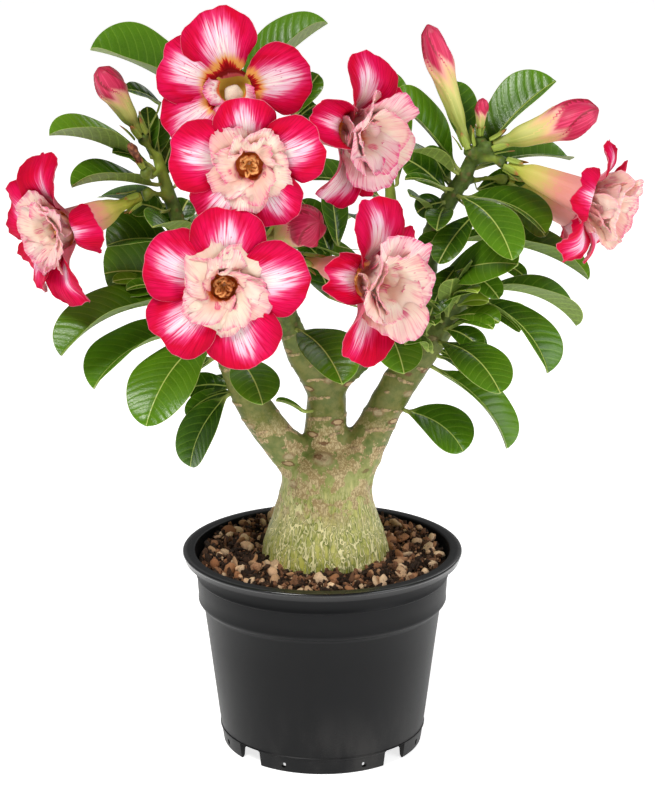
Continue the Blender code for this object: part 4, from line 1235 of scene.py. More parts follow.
CAD_BUD_SIDES = 10
BUD_SIDES, BUD_RINGS = 60, 60
# A bud's radius at shares of its length, its head's being 1
BUD_PROFILE = (
    (0.0, 0.3), (0.08, 0.34), (0.16, 0.37), (0.22, 0.52), (0.4, 0.7), (0.58, 0.88), (0.68, 1.0), (0.8, 0.93),
    (0.9, 0.72), (0.97, 0.48), (1.0, 0.32),
)
# How much later than usual the tube turns red, and how slim the bud is against its CAD node
BUD_TUBE = {"bud_right_tall": 0.09, "bud_right_long": 0.02, "bud_left_large": 0.03}
BUD_GIRTH = {"bud_middle_low": 0.82, "bud_right_long": 0.76, "bud_right_tall": 0.82, "bud_left_small": 0.85}
USUAL_GIRTH, YOUNG_GIRTH = 6.5, 2.6
LAP_START, LAP_EDGE = 0.86, 0.99


def bud(node, number, settings, material):
    """A tube that widens into a head of five petals furled one over the next, twisting to a blunt tip."""
    rings = loops(node, CAD_BUD_SIDES)
    base, tip = rings[0][0], rings[-1][0]
    size = max(circle(ring)[1] for ring in rings[1:-1]) * BUD_GIRTH.get(node, 1.0)
    forward, long = unit(tip - base), np.linalg.norm(tip - base)
    across = np.array(Vector(forward).orthogonal().normalized())
    beside = np.cross(forward, across)
    shares, radii = np.array(BUD_PROFILE).T
    way = 1 - (1 - np.linspace(0.0, 1.0, BUD_RINGS)) ** 1.15
    radius = curve(shares, radii[:, None] * size)(way)[:, 0]
    radius = np.maximum(radius * np.sqrt(np.clip((1.004 - way) / 0.06, 0.02, 1.0)), 0.12)
    a = np.arange(BUD_SIDES) * math.tau / BUD_SIDES
    twist = 1.5 * smooth(way, 0.3, 1.0)
    saw = ((a + twist[:, None]) * 5 / math.tau + 0.37 * number) % 1.0
    head = smooth(way, 0.46, 0.66)[:, None]
    lap = smooth(saw, 0.0, LAP_START) * (1 - smooth(saw, LAP_START, LAP_EDGE)) - 0.45
    lap *= settings.lap / MM * size / USUAL_GIRTH * head * np.minimum(1.0, radius / size * 1.6)[:, None]
    ridge = 0.05 * size * np.cos(5 * a) * (1 - head) * smooth(way, 0.02, 0.2)[:, None]
    r = radius[:, None] + lap + ridge
    sway = 0.02 * long * np.sin(way * 2.6 + number) * way
    spot = base + forward * (way * long)[:, None] + across * sway[:, None]
    grid = spot[:, None] + (across * np.cos(a)[:, None] + beside * np.sin(a)[:, None]) * r[..., None]
    mesh = Mesh()
    mesh.rings(
        grid, way=way, saw=saw, around=np.tile(a, len(way)), brown=float(size < YOUNG_GIRTH),
        late=BUD_TUBE.get(node, 0.0))
    return mesh.piece(node.replace("bud_", "closed_bud_"), material, "bud", [node])


def bud_finish(settings):
    """Yellow-green tube, peach where the petals' pointed feet begin, and crimson above with dark seams."""
    green, peach, coral, rose = (0.34, 0.40, 0.07), (0.86, 0.55, 0.26), (0.90, 0.40, 0.34), (0.86, 0.06, 0.18)
    scale_brown, scale_dark = (0.42, 0.16, 0.07), (0.16, 0.045, 0.02)
    f = Finish("closed_bud")
    way, saw, around, brown = f.tag("way"), f.tag("saw"), f.tag("around"), f.tag("brown")
    lines = f.ribbing(around, way * 2.0)
    mottle = f.noise(f.place(), 0.4, 3.0)
    rise = way - (saw - 0.5).absolute() * 0.3 - f.tag("late") + (lines - 0.5) * 0.12
    base = f.ramp(rise, [
        (0.06, green), (0.3, settings.tube), (0.44, peach), (0.52, coral), (0.62, settings.head)])
    red = rise.step(0.5, 0.62)
    base = f.blend(red, base, f.blend(lines.step(0.45, 0.72), settings.head, rose))
    seam = (saw - 0.92).absolute().step(0.12, 0.03) * red
    base = f.blend(seam * 0.92, base, settings.seam)
    base = f.blend(way.step(0.9, 1.0) * 0.5, base, settings.seam)
    scale = f.cells(f.place(), 0.5).step(0.2, 0.6)
    base = f.blend(brown, base, f.blend(scale, scale_brown, scale_dark))
    return f.finish(
        base_color=base, roughness=0.4 + mottle * 0.15, normal=f.bump(lines + mottle * 0.3, 0.3, 0.6),
        subsurface_weight=0.08, subsurface_radius=(1.0, 0.3, 0.2), subsurface_scale=1.5 * MM)


# ---------------------------------------------------------------- caudex and branches

RING_GAP = 8.5
THICKEST = 60.0


class Skin:
    """A mesh's points, normals and neighbours, for working out numbers over its surface."""

    def __init__(self, mesh):
        count = len(mesh.vertices)
        self.points = np.empty(count * 3)
        mesh.vertices.foreach_get("co", self.points)
        self.points = self.points.reshape(-1, 3) / MM
        self.normals = np.empty(count * 3, np.float32)
        mesh.vertices.foreach_get("normal", self.normals)
        self.normals = self.normals.reshape(-1, 3).astype(float)
        pairs = set()
        for face in mesh.polygons:
            corners = sorted(face.vertices)
            pairs.update((a, b) for i, a in enumerate(corners) for b in corners[i + 1:])
        self.pairs = np.array(sorted(pairs))
        self.spans = np.linalg.norm(self.points[self.pairs[:, 0]] - self.points[self.pairs[:, 1]], axis=1)
        self.degree = np.bincount(self.pairs.ravel(), minlength=count)

    def blurred(self, values, times):
        """The values with each point moved halfway to its neighbours' mean, over and over."""
        a, b = self.pairs.T
        for _ in range(times):
            total = np.bincount(a, values[b], len(values)) + np.bincount(b, values[a], len(values))
            values = (values + total / self.degree) / 2
        return values

    def distance(self, start):
        """How far each point is along the surface from the points where start is true."""
        near = [[] for _ in self.points]
        for (a, b), span in zip(self.pairs.tolist(), self.spans.tolist()):
            near[a].append((b, span))
            near[b].append((a, span))
        far = [math.inf] * len(near)
        queue = [(0.0, int(i)) for i in np.flatnonzero(start)]
        for _, i in queue:
            far[i] = 0.0
        while queue:
            way, i = heapq.heappop(queue)
            if way > far[i]:
                continue
            for other, span in near[i]:
                if way + span < far[other]:
                    far[other] = way + span
                    heapq.heappush(queue, (way + span, other))
        return np.array(far)

    def girth(self, tree):
        """How thick the form is behind each point."""
        thick = np.full(len(self.points), THICKEST)
        for i, (point, normal) in enumerate(zip(self.points, self.normals)):
            hit = tree.ray_cast(Vector(point - normal * 0.1), Vector(-normal))
            if hit[0] is not None:
                thick[i] = min(THICKEST, hit[3])
        return thick


def wood_mesh(detail):
    """The CAD wood, remeshed finely and evenly, with its facets smoothed away."""
    bm = merged("woody_plant")
    bmesh.ops.scale(bm, verts=bm.verts, vec=(MM,) * 3)
    holder = place("rough_wood", bpy.data.meshes.new("rough_wood"))
    bm.to_mesh(holder.data)
    bm.free()
    remesh = holder.modifiers.new("fine", "REMESH")
    remesh.mode = "VOXEL"
    remesh.voxel_size = detail
    rounded = holder.modifiers.new("rounded", "SMOOTH")
    rounded.factor = 0.5
    rounded.iterations = 10
    return worked(holder)


# Where branches and flower stalks were cut or shed: x, y, z and radius
SCARS = (
    (0, -22, 148, 4.4), (25, -10, 161, 2.4), (-32, -8, 155, 2.0), (-15, -14, 141, 2.4),
    (9, -10, 154, 1.8), (-18, -18, 130, 2.4), (40, -8, 169, 2.4), (4, -7, 176, 2.2), (-38, 2, 172, 2.2),
    (16, 8, 140, 2.8), (-12, 14, 150, 2.6), (30, 6, 162, 2.4), (-2, 16, 138, 3.0),
)


def wood_tree():
    """The CAD wood as something that leaves and stalks can find their place on."""
    bm = merged("woody_plant")
    tree = BVHTree.FromBMesh(bm)
    bm.free()
    return tree


def grow_wood(settings, material):
    """Bark on the CAD wood: a furrowed caudex, ringed branches and knobbly shoots."""
    mesh = wood_mesh(settings.detail)
    skin = Skin(mesh)
    points = skin.points
    way = skin.blurred(skin.distance(points[:, 2] < points[:, 2].min() + 4.0), 12)
    tree = BVHTree.FromPolygons([Vector(p) for p in points], [tuple(face.vertices) for face in mesh.polygons])
    girth = skin.blurred(skin.girth(tree), 40)
    foot = smooth(girth, 20, 32)
    limb = smooth(girth, 7.5, 11.0) * (1 - 0.75 * foot)
    shoot = smooth(girth, 3.9, 5.5) * (1 - smooth(girth, 9.5, 13.0))
    drift = wobble(points, 16.0)
    phase = (way + 2.5 * drift) / RING_GAP
    off = np.abs(phase - np.round(phase)) * RING_GAP
    dashes = smooth(wobble(points, 7.0, 31.0) + 0.35 * wobble(points, 2.5, 5.0), 0.0, 0.22)
    ring = np.exp(-((off / 0.75) ** 2)) * dashes * limb
    stretched = points * (1.0, 1.0, 0.3)
    rise = 0.42 * ring
    rise += 0.7 * drift * smooth(girth, 9, 22) + 0.32 * wobble(points, 5.5, 9.0) * smooth(girth, 7, 14)
    rise += 0.42 * wobble(stretched, 3.6, 2.0) * foot + 0.2 * wobble(stretched, 1.6, 7.0) * foot
    cell = np.array([noise.voronoi(p / 4.2)[0][0] for p in points])
    scar, hollow = np.zeros(len(rise)), np.zeros(len(rise))
    for *near, size in SCARS:
        spot = np.array(tree.find_nearest(Vector(near))[0])
        away = np.linalg.norm((points - spot) * (1.0, 0.8, 1.6), axis=1) / size
        scar = np.maximum(scar, smooth(away, 1.3, 0.7))
        hollow = np.maximum(hollow, smooth(away, 0.55, 0.25))
    rise += 0.5 * scar - 0.45 * hollow + 0.5 * smooth(cell, 0.45, 0.1) * shoot
    mesh.vertices.foreach_set("co", ((points + skin.normals * rise[:, None]) * MM).ravel())
    tag_points(mesh, {"girth": girth, "ring": ring, "cell": cell, "scar": scar, "hollow": hollow})
    return show("caudex_and_branches", mesh, material, ["woody_plant"])


def bark_finish(settings):
    """Grey-green bark: cream crackle and corky patches low down, tan rings up the branches, green shoots.

    girth, how thick the wood is, and height part the caudex, neck, limbs, shoots and stalks."""
    grey, moss, furrow, dust = (0.20, 0.22, 0.075), (0.52, 0.51, 0.06), (0.17, 0.21, 0.03), (0.62, 0.58, 0.26)
    neck_green, neck_straw, cork_line = (0.25, 0.33, 0.10), (0.42, 0.44, 0.17), (0.38, 0.25, 0.11)
    scar_pale, scar_edge = (0.60, 0.47, 0.29), (0.24, 0.12, 0.045)
    hollow_dark, hollow_pale = (0.30, 0.18, 0.09), (0.55, 0.42, 0.28)
    eye_dark, eye_pale, knob_brown = (0.17, 0.075, 0.03), (0.52, 0.36, 0.19), (0.17, 0.10, 0.035)
    f = Finish("bark")
    girth, ring, cell, scar, hollow = (f.tag(name) for name in ("girth", "ring", "cell", "scar", "hollow"))
    spot, height = f.place(), f.height()
    broad, fine = f.noise(spot, 0.09, 3.0), f.noise(spot, 0.8, 3.0, 0.65)
    mottle = f.noise(spot, 0.28, 4.0, 0.6)
    bend = f.node("ShaderNodeTexNoise", values={"Vector": spot, "Scale": 0.35, "Detail": 2.0}, output=1)
    bend = f.node("ShaderNodeVectorMath", {"operation": "SCALE"}, {0: bend, "Scale": 1.2})
    upright = f.node("ShaderNodeVectorMath", {"operation": "ADD"}, {0: f.place(1.0, 1.0, 0.15), 1: bend})
    crackle = f.cells(upright, 0.95, "DISTANCE_TO_EDGE")
    caudex = girth.step(17.0, 25.0) * height.step(146.0, 112.0)
    limb = girth.step(9.0, 13.0)
    bark = f.blend((mottle + (fine - 0.5) * 0.4).step(0.3, 0.7), settings.green, settings.dry)
    bark = f.blend(broad.step(0.35, 0.65) * 0.4, bark, grey)
    # A paler grey-green neck where the limbs meet the caudex: partly the bark's own colour there, partly
    # painted light that lifts the shade in the crotches between the limbs.
    neck = f.blend(mottle.step(0.35, 0.65), neck_green, neck_straw)
    bark = f.blend(height.step(162.0, 122.0) * girth.step(9.0, 20.0) * 0.8, bark, neck)
    pale = f.blend((mottle * 0.6 + broad * 0.4).step(0.35, 0.65), settings.olive, settings.straw)
    base = f.blend(caudex, bark, pale)
    base = f.blend(caudex * height.step(112.0, 88.0) * 0.75, base, moss)
    wavy, wavier = ((f.noise(upright, scale, 0.8) - 0.5).absolute() for scale in (0.42, 0.62))
    # Painted shade along with a darker green: dark-green bands flank the cracks, so that they look sunk in.
    furrow_shade = wavy.step(0.14, 0.05) * 0.8 + wavier.step(0.12, 0.05) * 0.5
    base = f.blend(furrow_shade * caudex * 0.8, base, furrow)
    base = f.blend((fine * 0.5 + mottle * 0.5).step(0.5, 0.62) * caudex * 0.35, base, dust)
    cracks = wavy.step(0.045, 0.018) * (0.55 + 0.45 * broad.step(0.4, 0.55))
    cracks = cracks.math("MAXIMUM", wavier.step(0.035, 0.013) * mottle.step(0.42, 0.54) * 0.9)
    cracks = cracks.math("MAXIMUM", crackle.step(0.07, 0.02) * broad.step(0.5, 0.62) * 0.7)
    cracks = cracks * caudex * height.step(136.0, 112.0)
    base = f.blend(cracks, base, settings.crack)
    patch = (f.noise(spot, 0.15, 3.0, 0.6) + (fine - 0.5) * 0.15).step(0.49, 0.52) * limb
    patch = patch * height.step(108.0, 120.0) * height.step(164.0, 146.0)
    cork = crackle.step(0.12, 0.03).math("MAXIMUM", fine.step(0.55, 0.42))
    base = f.blend(patch * 0.85, base, f.blend(cork, settings.patch, cork_line))
    rings = (ring * (0.6 + fine)).step(0.2, 0.6)
    base = f.blend(rings * 0.9, base, f.blend(fine.step(0.4, 0.6), settings.scar, tint(settings.scar, 2.1)))
    base = f.blend(scar * (0.4 + mottle * 0.5), base, scar_pale)
    base = f.blend(scar * (1 - scar) * fine.step(0.3, 0.6) * 2.6, base, scar_edge)
    base = f.blend(hollow * 0.6, base, f.blend(fine.step(0.4, 0.6), hollow_dark, hollow_pale))
    eye = f.cells(f.place(0.75, 0.75, 1.7), 0.085) + (fine - 0.5) * 0.16
    eyes = limb * (1 - caudex)
    base = f.blend(eye.step(0.24, 0.19) * eyes * 0.9, base, eye_dark)
    base = f.blend(eye.step(0.165, 0.12) * eyes, base, eye_pale)
    shoot = girth.step(12.5, 8.0).math("MAXIMUM", height.step(180.0, 206.0) * 0.8)
    green = f.blend(mottle.step(0.35, 0.7), settings.shoot, tint(settings.shoot, 1.9))
    base = f.blend(shoot, base, f.blend(cell.step(0.34, 0.12) * 0.7, green, knob_brown))
    stalk = f.blend(mottle.step(0.35, 0.7), settings.stalk, tint(settings.stalk, 0.75))
    base = f.blend(girth.step(6.2, 4.6), base, stalk)
    bump = cracks * 1.2 + rings * 0.8 + fine * 0.5 + mottle * 0.5 + eye.step(0.2, 0.12) * eyes * 0.8
    return f.finish(
        base_color=base, roughness=0.38 + fine * 0.2, normal=f.bump(bump, 0.35, 0.8), specular_ior_level=0.28)


# ---------------------------------------------------------------- pot

# The wall as (radius, height): up its outside over the collar's steps to the lip, then down its inside
POT_OUTSIDE = (
    (45.4, 0.3), (45.8, 0.0), (46.4, 0.0), (46.85, 0.4), (47.85, 7.2), (48.3, 7.6), (48.35, 8.1), (48.0, 8.5),
    (49.0, 16.0), (51.2, 34.0), (53.4, 52.0), (55.3, 66.8), (55.7, 67.9), (56.5, 68.7), (57.5, 69.6),
    (57.95, 70.3), (57.95, 71.2), (57.75, 71.9), (58.1, 76.0), (58.4, 81.8), (58.85, 82.3), (58.85, 82.9),
    (58.55, 83.4), (58.9, 88.0), (59.3, 89.0), (60.3, 89.7), (62.0, 90.0), (64.0, 90.15),
)
POT_INSIDE = (
    (58.55, 90.6), (58.2, 88.0), (57.3, 81.0), (56.7, 71.6), (54.6, 69.2), (52.0, 51.0), (49.8, 33.0),
    (47.4, 13.0), (46.4, 7.4), (45.4, 6.6), (30.0, 6.4),
)
FOOT_INSIDE = ((44.9, 1.2), (44.6, 4.4), (44.0, 4.9), (30.0, 5.0))
LIP_WIDTH = 5.8
FOOT_RADIUS, CUT_DEPTH, CUT_ROUNDING = 46.0, 9.0, 0.6
FOOT_GAP = (13.0, 8.0)
DRAIN_SLOT, SLOT_HEIGHT = (2.3, 2.6), 3.4
SLOT_ANGLES = (22, 68, 112, 158, 202, 248, 294, 338)


def lip(settings):
    """The rolled rim's round section, from its underside over its top to the inner wall."""
    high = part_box("pot")[1] / MM
    r = settings.lip / MM
    outer = [math.radians(a) for a in range(-75, 91, 15)]
    inner = [math.radians(a) for a in range(105, 181, 15)]
    return [(high.x - r + r * math.cos(a), high.z - r + r * math.sin(a)) for a in outer] + [
        (high.x - LIP_WIDTH + r + r * math.cos(a), high.z - r + r * math.sin(a)) for a in [outer[-1], *inner]]


def cutter(name, size, height, turn):
    """A rounded block that cuts through the wall at a height, at an angle round the pot."""
    bm = bmesh.new()
    bmesh.ops.create_cube(bm, size=1.0)
    bmesh.ops.scale(bm, vec=[s * MM for s in size], verts=bm.verts)
    bmesh.ops.bevel(
        bm, geom=bm.edges[:], offset=CUT_ROUNDING * MM, segments=3, profile=0.5, affect="EDGES",
        clamp_overlap=True)
    bmesh.ops.translate(bm, vec=(FOOT_RADIUS * MM, 0.0, height * MM), verts=bm.verts)
    bmesh.ops.rotate(bm, verts=bm.verts, matrix=Matrix.Rotation(math.radians(turn), 3, "Z"))
    block = place(name, bpy.data.meshes.new(name))
    bm.to_mesh(block.data)
    bm.free()
    return block


def mould_pot(settings, material):
    """The nursery pot: one turned wall with a rolled rim, a collar, gaps between its feet and drain slots."""
    sides = settings.sides
    profile = [*reversed(FOOT_INSIDE), *POT_OUTSIDE, *lip(settings), *POT_INSIDE]
    a = np.arange(sides) * math.tau / sides
    mesh = Mesh()
    mesh.rings([np.stack([r * np.cos(a), r * np.sin(a), np.full(sides, z)], 1) for r, z in profile])
    pot = place("uncut_pot", bpy.data.meshes.new("uncut_pot"))
    pot.data.from_pydata(np.concatenate(mesh.points) * MM, [], mesh.faces)
    face_out(pot.data)
    wide, high = FOOT_GAP
    cuts = [((CUT_DEPTH, wide, high + 2), high / 2 - 1, 45 + 90 * k) for k in range(4)]
    cuts += [((CUT_DEPTH, *DRAIN_SLOT), SLOT_HEIGHT, angle) for angle in SLOT_ANGLES]
    blocks = [cutter(f"cutter_{number}", *cut) for number, cut in enumerate(cuts)]
    for block in blocks:
        cut = pot.modifiers.new(block.name, "BOOLEAN")
        cut.operation, cut.solver, cut.object = "DIFFERENCE", "EXACT", block
    moulding = worked(pot)
    for block in blocks:
        bpy.data.objects.remove(block)
    piece = show("nursery_pot", moulding, material, ["pot"])
    piece.data.set_sharp_from_angle(angle=math.radians(38))
    return piece


def plastic_finish(settings):
    """Satin black moulded plastic: finely grained, scuffed, dusty at its foot and glossier at its rim."""
    f = Finish("moulded_plastic")
    grain = f.noise(f.place(), 2.4, 3.0, 0.6)
    cloud = f.noise(f.place(1.0, 1.0, 0.35), 0.06, 3.0)
    scuff = f.noise(f.place(1.0, 1.0, 6.0), 0.25, 3.0, 0.7)
    height = f.height()
    radius = f.node("ShaderNodeVectorMath", {"operation": "LENGTH"}, {0: f.place(1.0, 1.0, 0.0)}, 1)
    dust = (grain * 0.4 + cloud).step(0.62, 0.95) * height.step(40.0, 5.0)
    base = f.blend(cloud.step(0.3, 0.7), settings.plastic, tint(settings.plastic, 1.35))
    base = f.blend(scuff.step(0.6, 0.75) * 0.25, base, tint(settings.plastic, 2.4))
    base = f.blend(dust * 0.25, base, (0.09, 0.085, 0.08))
    rim = height.step(84.0, 93.0) * radius.step(59.0, 62.0)
    rough = 0.36 + cloud * 0.12 + scuff.step(0.55, 0.75) * 0.08 + dust * 0.1 - rim * 0.14
    return f.finish(
        base_color=base, roughness=rough, normal=f.bump(grain, 0.06, 0.6), specular_ior_level=0.18,
        coat_weight=height.step(88.0, 92.5) * radius.step(62.5, 64.0) * 0.8, coat_roughness=0.18)


# ---------------------------------------------------------------- potting mix

MIX_SIDES = 180
CAUDEX_AXIS = (1.4, 0.0)
CAUDEX_RADIUS = 29.5
GROUND_RADIUS = 55.2
GROUND_SIDES, GROUND_RINGS = 120, 13
FILL_LEVEL = 87.0


def heap(x, y):
    """How far the mix is heaped up towards the back of the rim."""
    return 3.4 * smooth(np.hypot(x, y), 34.0, 52.0) * smooth(y, -10.0, 36.0)


def mix_surface(x, y):
    """Height over the flat mix at a place: heaped a little, and lumpy."""
    spots = np.stack([x, y, np.zeros_like(x)], -1)
    return 0.9 * wobble(spots, 11.0, 4.0) + 0.8 * wobble(spots, 3.4, 8.0) + 0.35 * wobble(spots, 1.3, 2.0)


def fill_mix(material):
    """The mix: the CAD's fill, finer and with a lumpy top."""
    rings = loops("substrate", 40)[1:-1]
    profile = [(*circle(ring)[0][:2], circle(ring)[1], ring[:, 2].mean()) for ring in rings]
    if profile[0][2] < profile[-1][2]:
        profile.reverse()
    rows = [profile[0]]
    for a, b in zip(profile, profile[1:]):
        top = min(a[3], b[3]) > FILL_LEVEL - 3.0 and b[2] < a[2]
        steps = max(1, int(abs(a[2] - b[2]) / 0.9)) if top else 1
        rows += [tuple(np.array(a) + (np.array(b) - a) * k / steps) for k in range(1, steps + 1)]
    a = np.arange(MIX_SIDES) * math.tau / MIX_SIDES
    grid = np.array([
        np.stack([x + r * np.cos(a), y + r * np.sin(a), np.full(MIX_SIDES, z)], 1) for x, y, r, z in rows])
    level = (grid[..., 2] > FILL_LEVEL) * smooth(57.0 - np.hypot(grid[..., 0], grid[..., 1]), -0.5, 2.0)
    grid[..., 2] += (mix_surface(grid[..., 0], grid[..., 1]) + heap(grid[..., 0], grid[..., 1])) * level
    mesh = Mesh()
    mesh.rings(grid)
    mesh.piece("potting_mix", material, "substrate", ["substrate"])


class Scatter(Nodes):
    """A Geometry Nodes tree that strews lumps over a surface, with named inputs for their sizes."""

    INPUTS = (
        ("Geometry", "Geometry"), ("Density", "Float"), ("Seed", "Int"), ("Smallest", "Vector"),
        ("Largest", "Vector"), ("Lowest", "Float"), ("Highest", "Float"), ("Dents", "Float"),
        ("Dent Size", "Float"), ("Material", "Material"))

    def __init__(self, name, detail, flat):
        super().__init__(bpy.data.node_groups.new(name, "GeometryNodeTree"))
        for label, kind in self.INPUTS:
            self.tree.interface.new_socket(label, in_out="INPUT", socket_type=f"NodeSocket{kind}")
        self.tree.interface.new_socket("Geometry", in_out="OUTPUT", socket_type="NodeSocketGeometry")
        self.group = self.tree.nodes.new("NodeGroupInput")
        names = [label for label, _ in self.INPUTS]
        take = {label: Value(self, self.group.outputs[names.index(label)]) for label in names}
        seed = take["Seed"]
        spots = self.node(
            "GeometryNodeDistributePointsOnFaces", {"distribute_method": "RANDOM"},
            {"Mesh": take["Geometry"], "Density": take["Density"], "Seed": seed})
        lift = self.chance(take["Lowest"], take["Highest"], seed)
        lift = self.node("ShaderNodeCombineXYZ", values={2: lift})
        spots = self.node("GeometryNodeSetPosition", values={"Geometry": spots, "Offset": lift})
        if detail:
            lump = self.node("GeometryNodeMeshIcoSphere", values={"Radius": 1.0, "Subdivisions": detail})
        else:
            lump = self.node("GeometryNodeMeshUVSphere", values={"Segments": 8, "Rings": 6, "Radius": 1.0})
        turn = self.chance((0.0, 0.0, 0.0), (math.tau, math.tau, math.tau), seed + 1)
        scale = self.chance(take["Smallest"], take["Largest"], seed + 2)
        lumps = self.node("GeometryNodeInstanceOnPoints", values={
            "Points": spots, "Instance": lump, "Rotation": turn, "Scale": scale})
        lumps = self.node(
            "GeometryNodeStoreNamedAttribute", {"data_type": "FLOAT", "domain": "INSTANCE"},
            {"Geometry": lumps, "Name": "tone", "Value": self.chance(0.0, 1.0, seed + 3)})
        lumps = self.node("GeometryNodeRealizeInstances", values={"Geometry": lumps})
        spot = self.node("GeometryNodeInputPosition")
        spot = self.node(
            "ShaderNodeVectorMath", {"operation": "SCALE"}, {0: spot, "Scale": 1.0 / take["Dent Size"]})
        dent = self.node("ShaderNodeTexNoise", values={"Vector": spot, "Scale": 1.0, "Detail": 2.0}, output=1)
        dent = self.node("ShaderNodeVectorMath", {"operation": "SUBTRACT"}, {0: dent, 1: (0.5, 0.5, 0.5)})
        dent = self.node("ShaderNodeVectorMath", {"operation": "SCALE"}, {0: dent, "Scale": take["Dents"]})
        lumps = self.node("GeometryNodeSetPosition", values={"Geometry": lumps, "Offset": dent})
        lumps = self.node("GeometryNodeSetShadeSmooth", values={"Geometry": lumps, "Shade Smooth": not flat})
        lumps = self.node("GeometryNodeSetMaterial", values={"Geometry": lumps, "Material": take["Material"]})
        self.node("NodeGroupOutput", values={"Geometry": lumps})

    def chance(self, low, high, seed):
        """A random number, or vector, between two others for each element."""
        number = isinstance(low, Value) and low.socket.type == "VALUE" or isinstance(low, float)
        first = 2 if number else 0
        return self.node(
            "FunctionNodeRandomValue", {"data_type": "FLOAT" if number else "FLOAT_VECTOR"},
            {first: low, first + 1: high, "Seed": seed}, output=1 if number else 0)

    def strew(self, name, ground, slot, **inputs):
        """A piece of lumps strewn over the ground mesh; sizes are in metres."""
        holder = place(name + "_ground", ground)
        modifier = holder.modifiers.new(name, "NODES")
        modifier.node_group = self.tree
        sockets = [item for item in self.tree.interface.items_tree if item.in_out == "INPUT"]
        named = {item.name: item.identifier for item in sockets}
        for label, value in inputs.items():
            modifier[named[label.replace("_", " ").title()]] = value
        mesh = worked(holder)
        mesh.name = name
        mesh.materials.clear()
        mesh.materials.append(inputs["material"])
        piece = place(name, mesh)
        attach(piece, BODY)
        return piece


def strew_mix(settings, stones, chips):
    """Pumice stones, bark chips and crumbs over the mix, round the caudex and inside the rim."""
    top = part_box("substrate")[1].z / MM
    axis = np.array(CAUDEX_AXIS)
    a = np.arange(GROUND_SIDES) * math.tau / GROUND_SIDES
    spoke = np.stack([np.cos(a), np.sin(a)], 1)
    rings = []
    for share in np.linspace(0.0, 1.0, GROUND_RINGS):
        flat = (1 - share) * (axis + CAUDEX_RADIUS * spoke) + share * GROUND_RADIUS * spoke
        x, y = flat.T
        rings.append(np.column_stack([flat, top - 0.4 - 1.2 * share + 0.7 * mix_surface(x, y) + heap(x, y)]))
    starts = range(0, (GROUND_RINGS - 1) * GROUND_SIDES, GROUND_SIDES)
    beside = [(k, (k + 1) % GROUND_SIDES) for k in range(GROUND_SIDES)]
    faces = [(r + a, r + b, r + GROUND_SIDES + b, r + GROUND_SIDES + a) for r in starts for a, b in beside]
    ground = bpy.data.meshes.new("ground")
    ground.from_pydata(np.concatenate(rings) * MM, [], faces)
    stone, chip, crumb = settings.stone, settings.chip, settings.crumb
    lumps = Scatter("strewn_lumps", 0, False)
    shards = Scatter("strewn_shards", 1, True)
    grains = Scatter("strewn_grains", 1, True)
    lumps.strew(
        "pumice_stones", ground, "substrate", density=1.6e4, seed=3, smallest=(stone * 0.35,) * 3,
        largest=(stone * 1.8, stone * 1.45, stone * 1.1), lowest=-0.4 * MM, highest=1.6 * MM,
        dents=stone * 0.42, dent_size=stone * 0.8, material=stones)
    shards.strew(
        "bark_chips", ground, "substrate", density=9.5e4, seed=11,
        smallest=(chip * 0.4, chip * 0.25, chip * 0.18), largest=(chip * 1.25, chip * 0.75, chip * 0.5),
        lowest=-0.6 * MM, highest=1.4 * MM, dents=chip * 0.75, dent_size=chip * 0.7, material=chips)
    grains.strew(
        "crumbs", ground, "substrate", density=3.6e5, seed=29, smallest=(crumb * 0.3,) * 3,
        largest=(crumb, crumb * 0.9, crumb * 0.8), lowest=-0.4 * MM, highest=0.9 * MM, dents=crumb * 0.7,
        dent_size=crumb, material=chips)


def peat_finish(settings):
    """Dark, damp and crumbly."""
    f = Finish("peat")
    spot = f.place()
    crumbs = f.cells(spot, 0.9)
    fine, broad = f.noise(spot, 2.0, 4.0, 0.7), f.noise(spot, 0.25, 3.0)
    base = f.blend(fine.step(0.35, 0.7), tint(settings.peat, 0.5), tint(settings.peat, 1.8))
    base = f.blend(crumbs.step(0.25, 0.05) * broad.step(0.45, 0.6) * 0.7, base, settings.bark)
    return f.finish(
        base_color=base, roughness=0.75 + fine * 0.2, normal=f.bump(fine + crumbs, 0.8),
        specular_ior_level=0.3)


def stone_finish(settings):
    """Pumice: cream, tan and rust, pitted, with dirt in its hollows."""
    rust, tan, red_tan = (0.30, 0.11, 0.04), (0.50, 0.26, 0.12), (0.52, 0.22, 0.09)
    f = Finish("pumice")
    spot = f.place()
    fine, pits = f.noise(spot, 1.6, 4.0, 0.7), f.cells(spot, 2.2).step(0.3, 0.1)
    body = f.ramp(f.tag("tone"), [
        (0.0, rust), (0.2, tan), (0.45, tint(settings.pumice, 1.15)), (0.85, tint(settings.pumice, 1.85)),
        (1.0, red_tan)])
    base = f.blend(fine.step(0.52, 0.72) * 0.45, body, tint(settings.bark, 2.2))
    base = f.blend(pits * 0.35, base, tint(settings.bark, 1.6))
    return f.finish(base_color=base, roughness=0.8 + fine * 0.1, normal=f.bump(fine - pits * 0.4, 0.35))


def chip_finish(settings):
    """Bark chips and crumbs: near black to red-brown, with paler torn fibres."""
    f = Finish("bark_chip")
    fine, fibre = f.noise(f.place(), 1.8, 4.0, 0.7), f.noise(f.place(2.5, 0.6, 2.5), 1.2, 2.0)
    peat, bark, pumice = settings.peat, settings.bark, settings.pumice
    body = f.ramp(f.tag("tone"), [
        (0.0, tint(peat, 0.55)), (0.35, peat), (0.55, bark), (0.75, tint(bark, 3.0)), (0.88, tint(bark, 5.0)),
        (1.0, tint(pumice, 1.3))])
    base = f.blend(fibre.step(0.5, 0.75) * 0.4, body, tint(bark, 1.9))
    base = f.blend(fine.step(0.45, 0.7) * 0.4, base, tint(peat, 0.6))
    return f.finish(
        base_color=base, roughness=0.68 + fine * 0.2, normal=f.bump(fine + fibre, 0.4),
        specular_ior_level=0.35)


# ---------------------------------------------------------------- stage

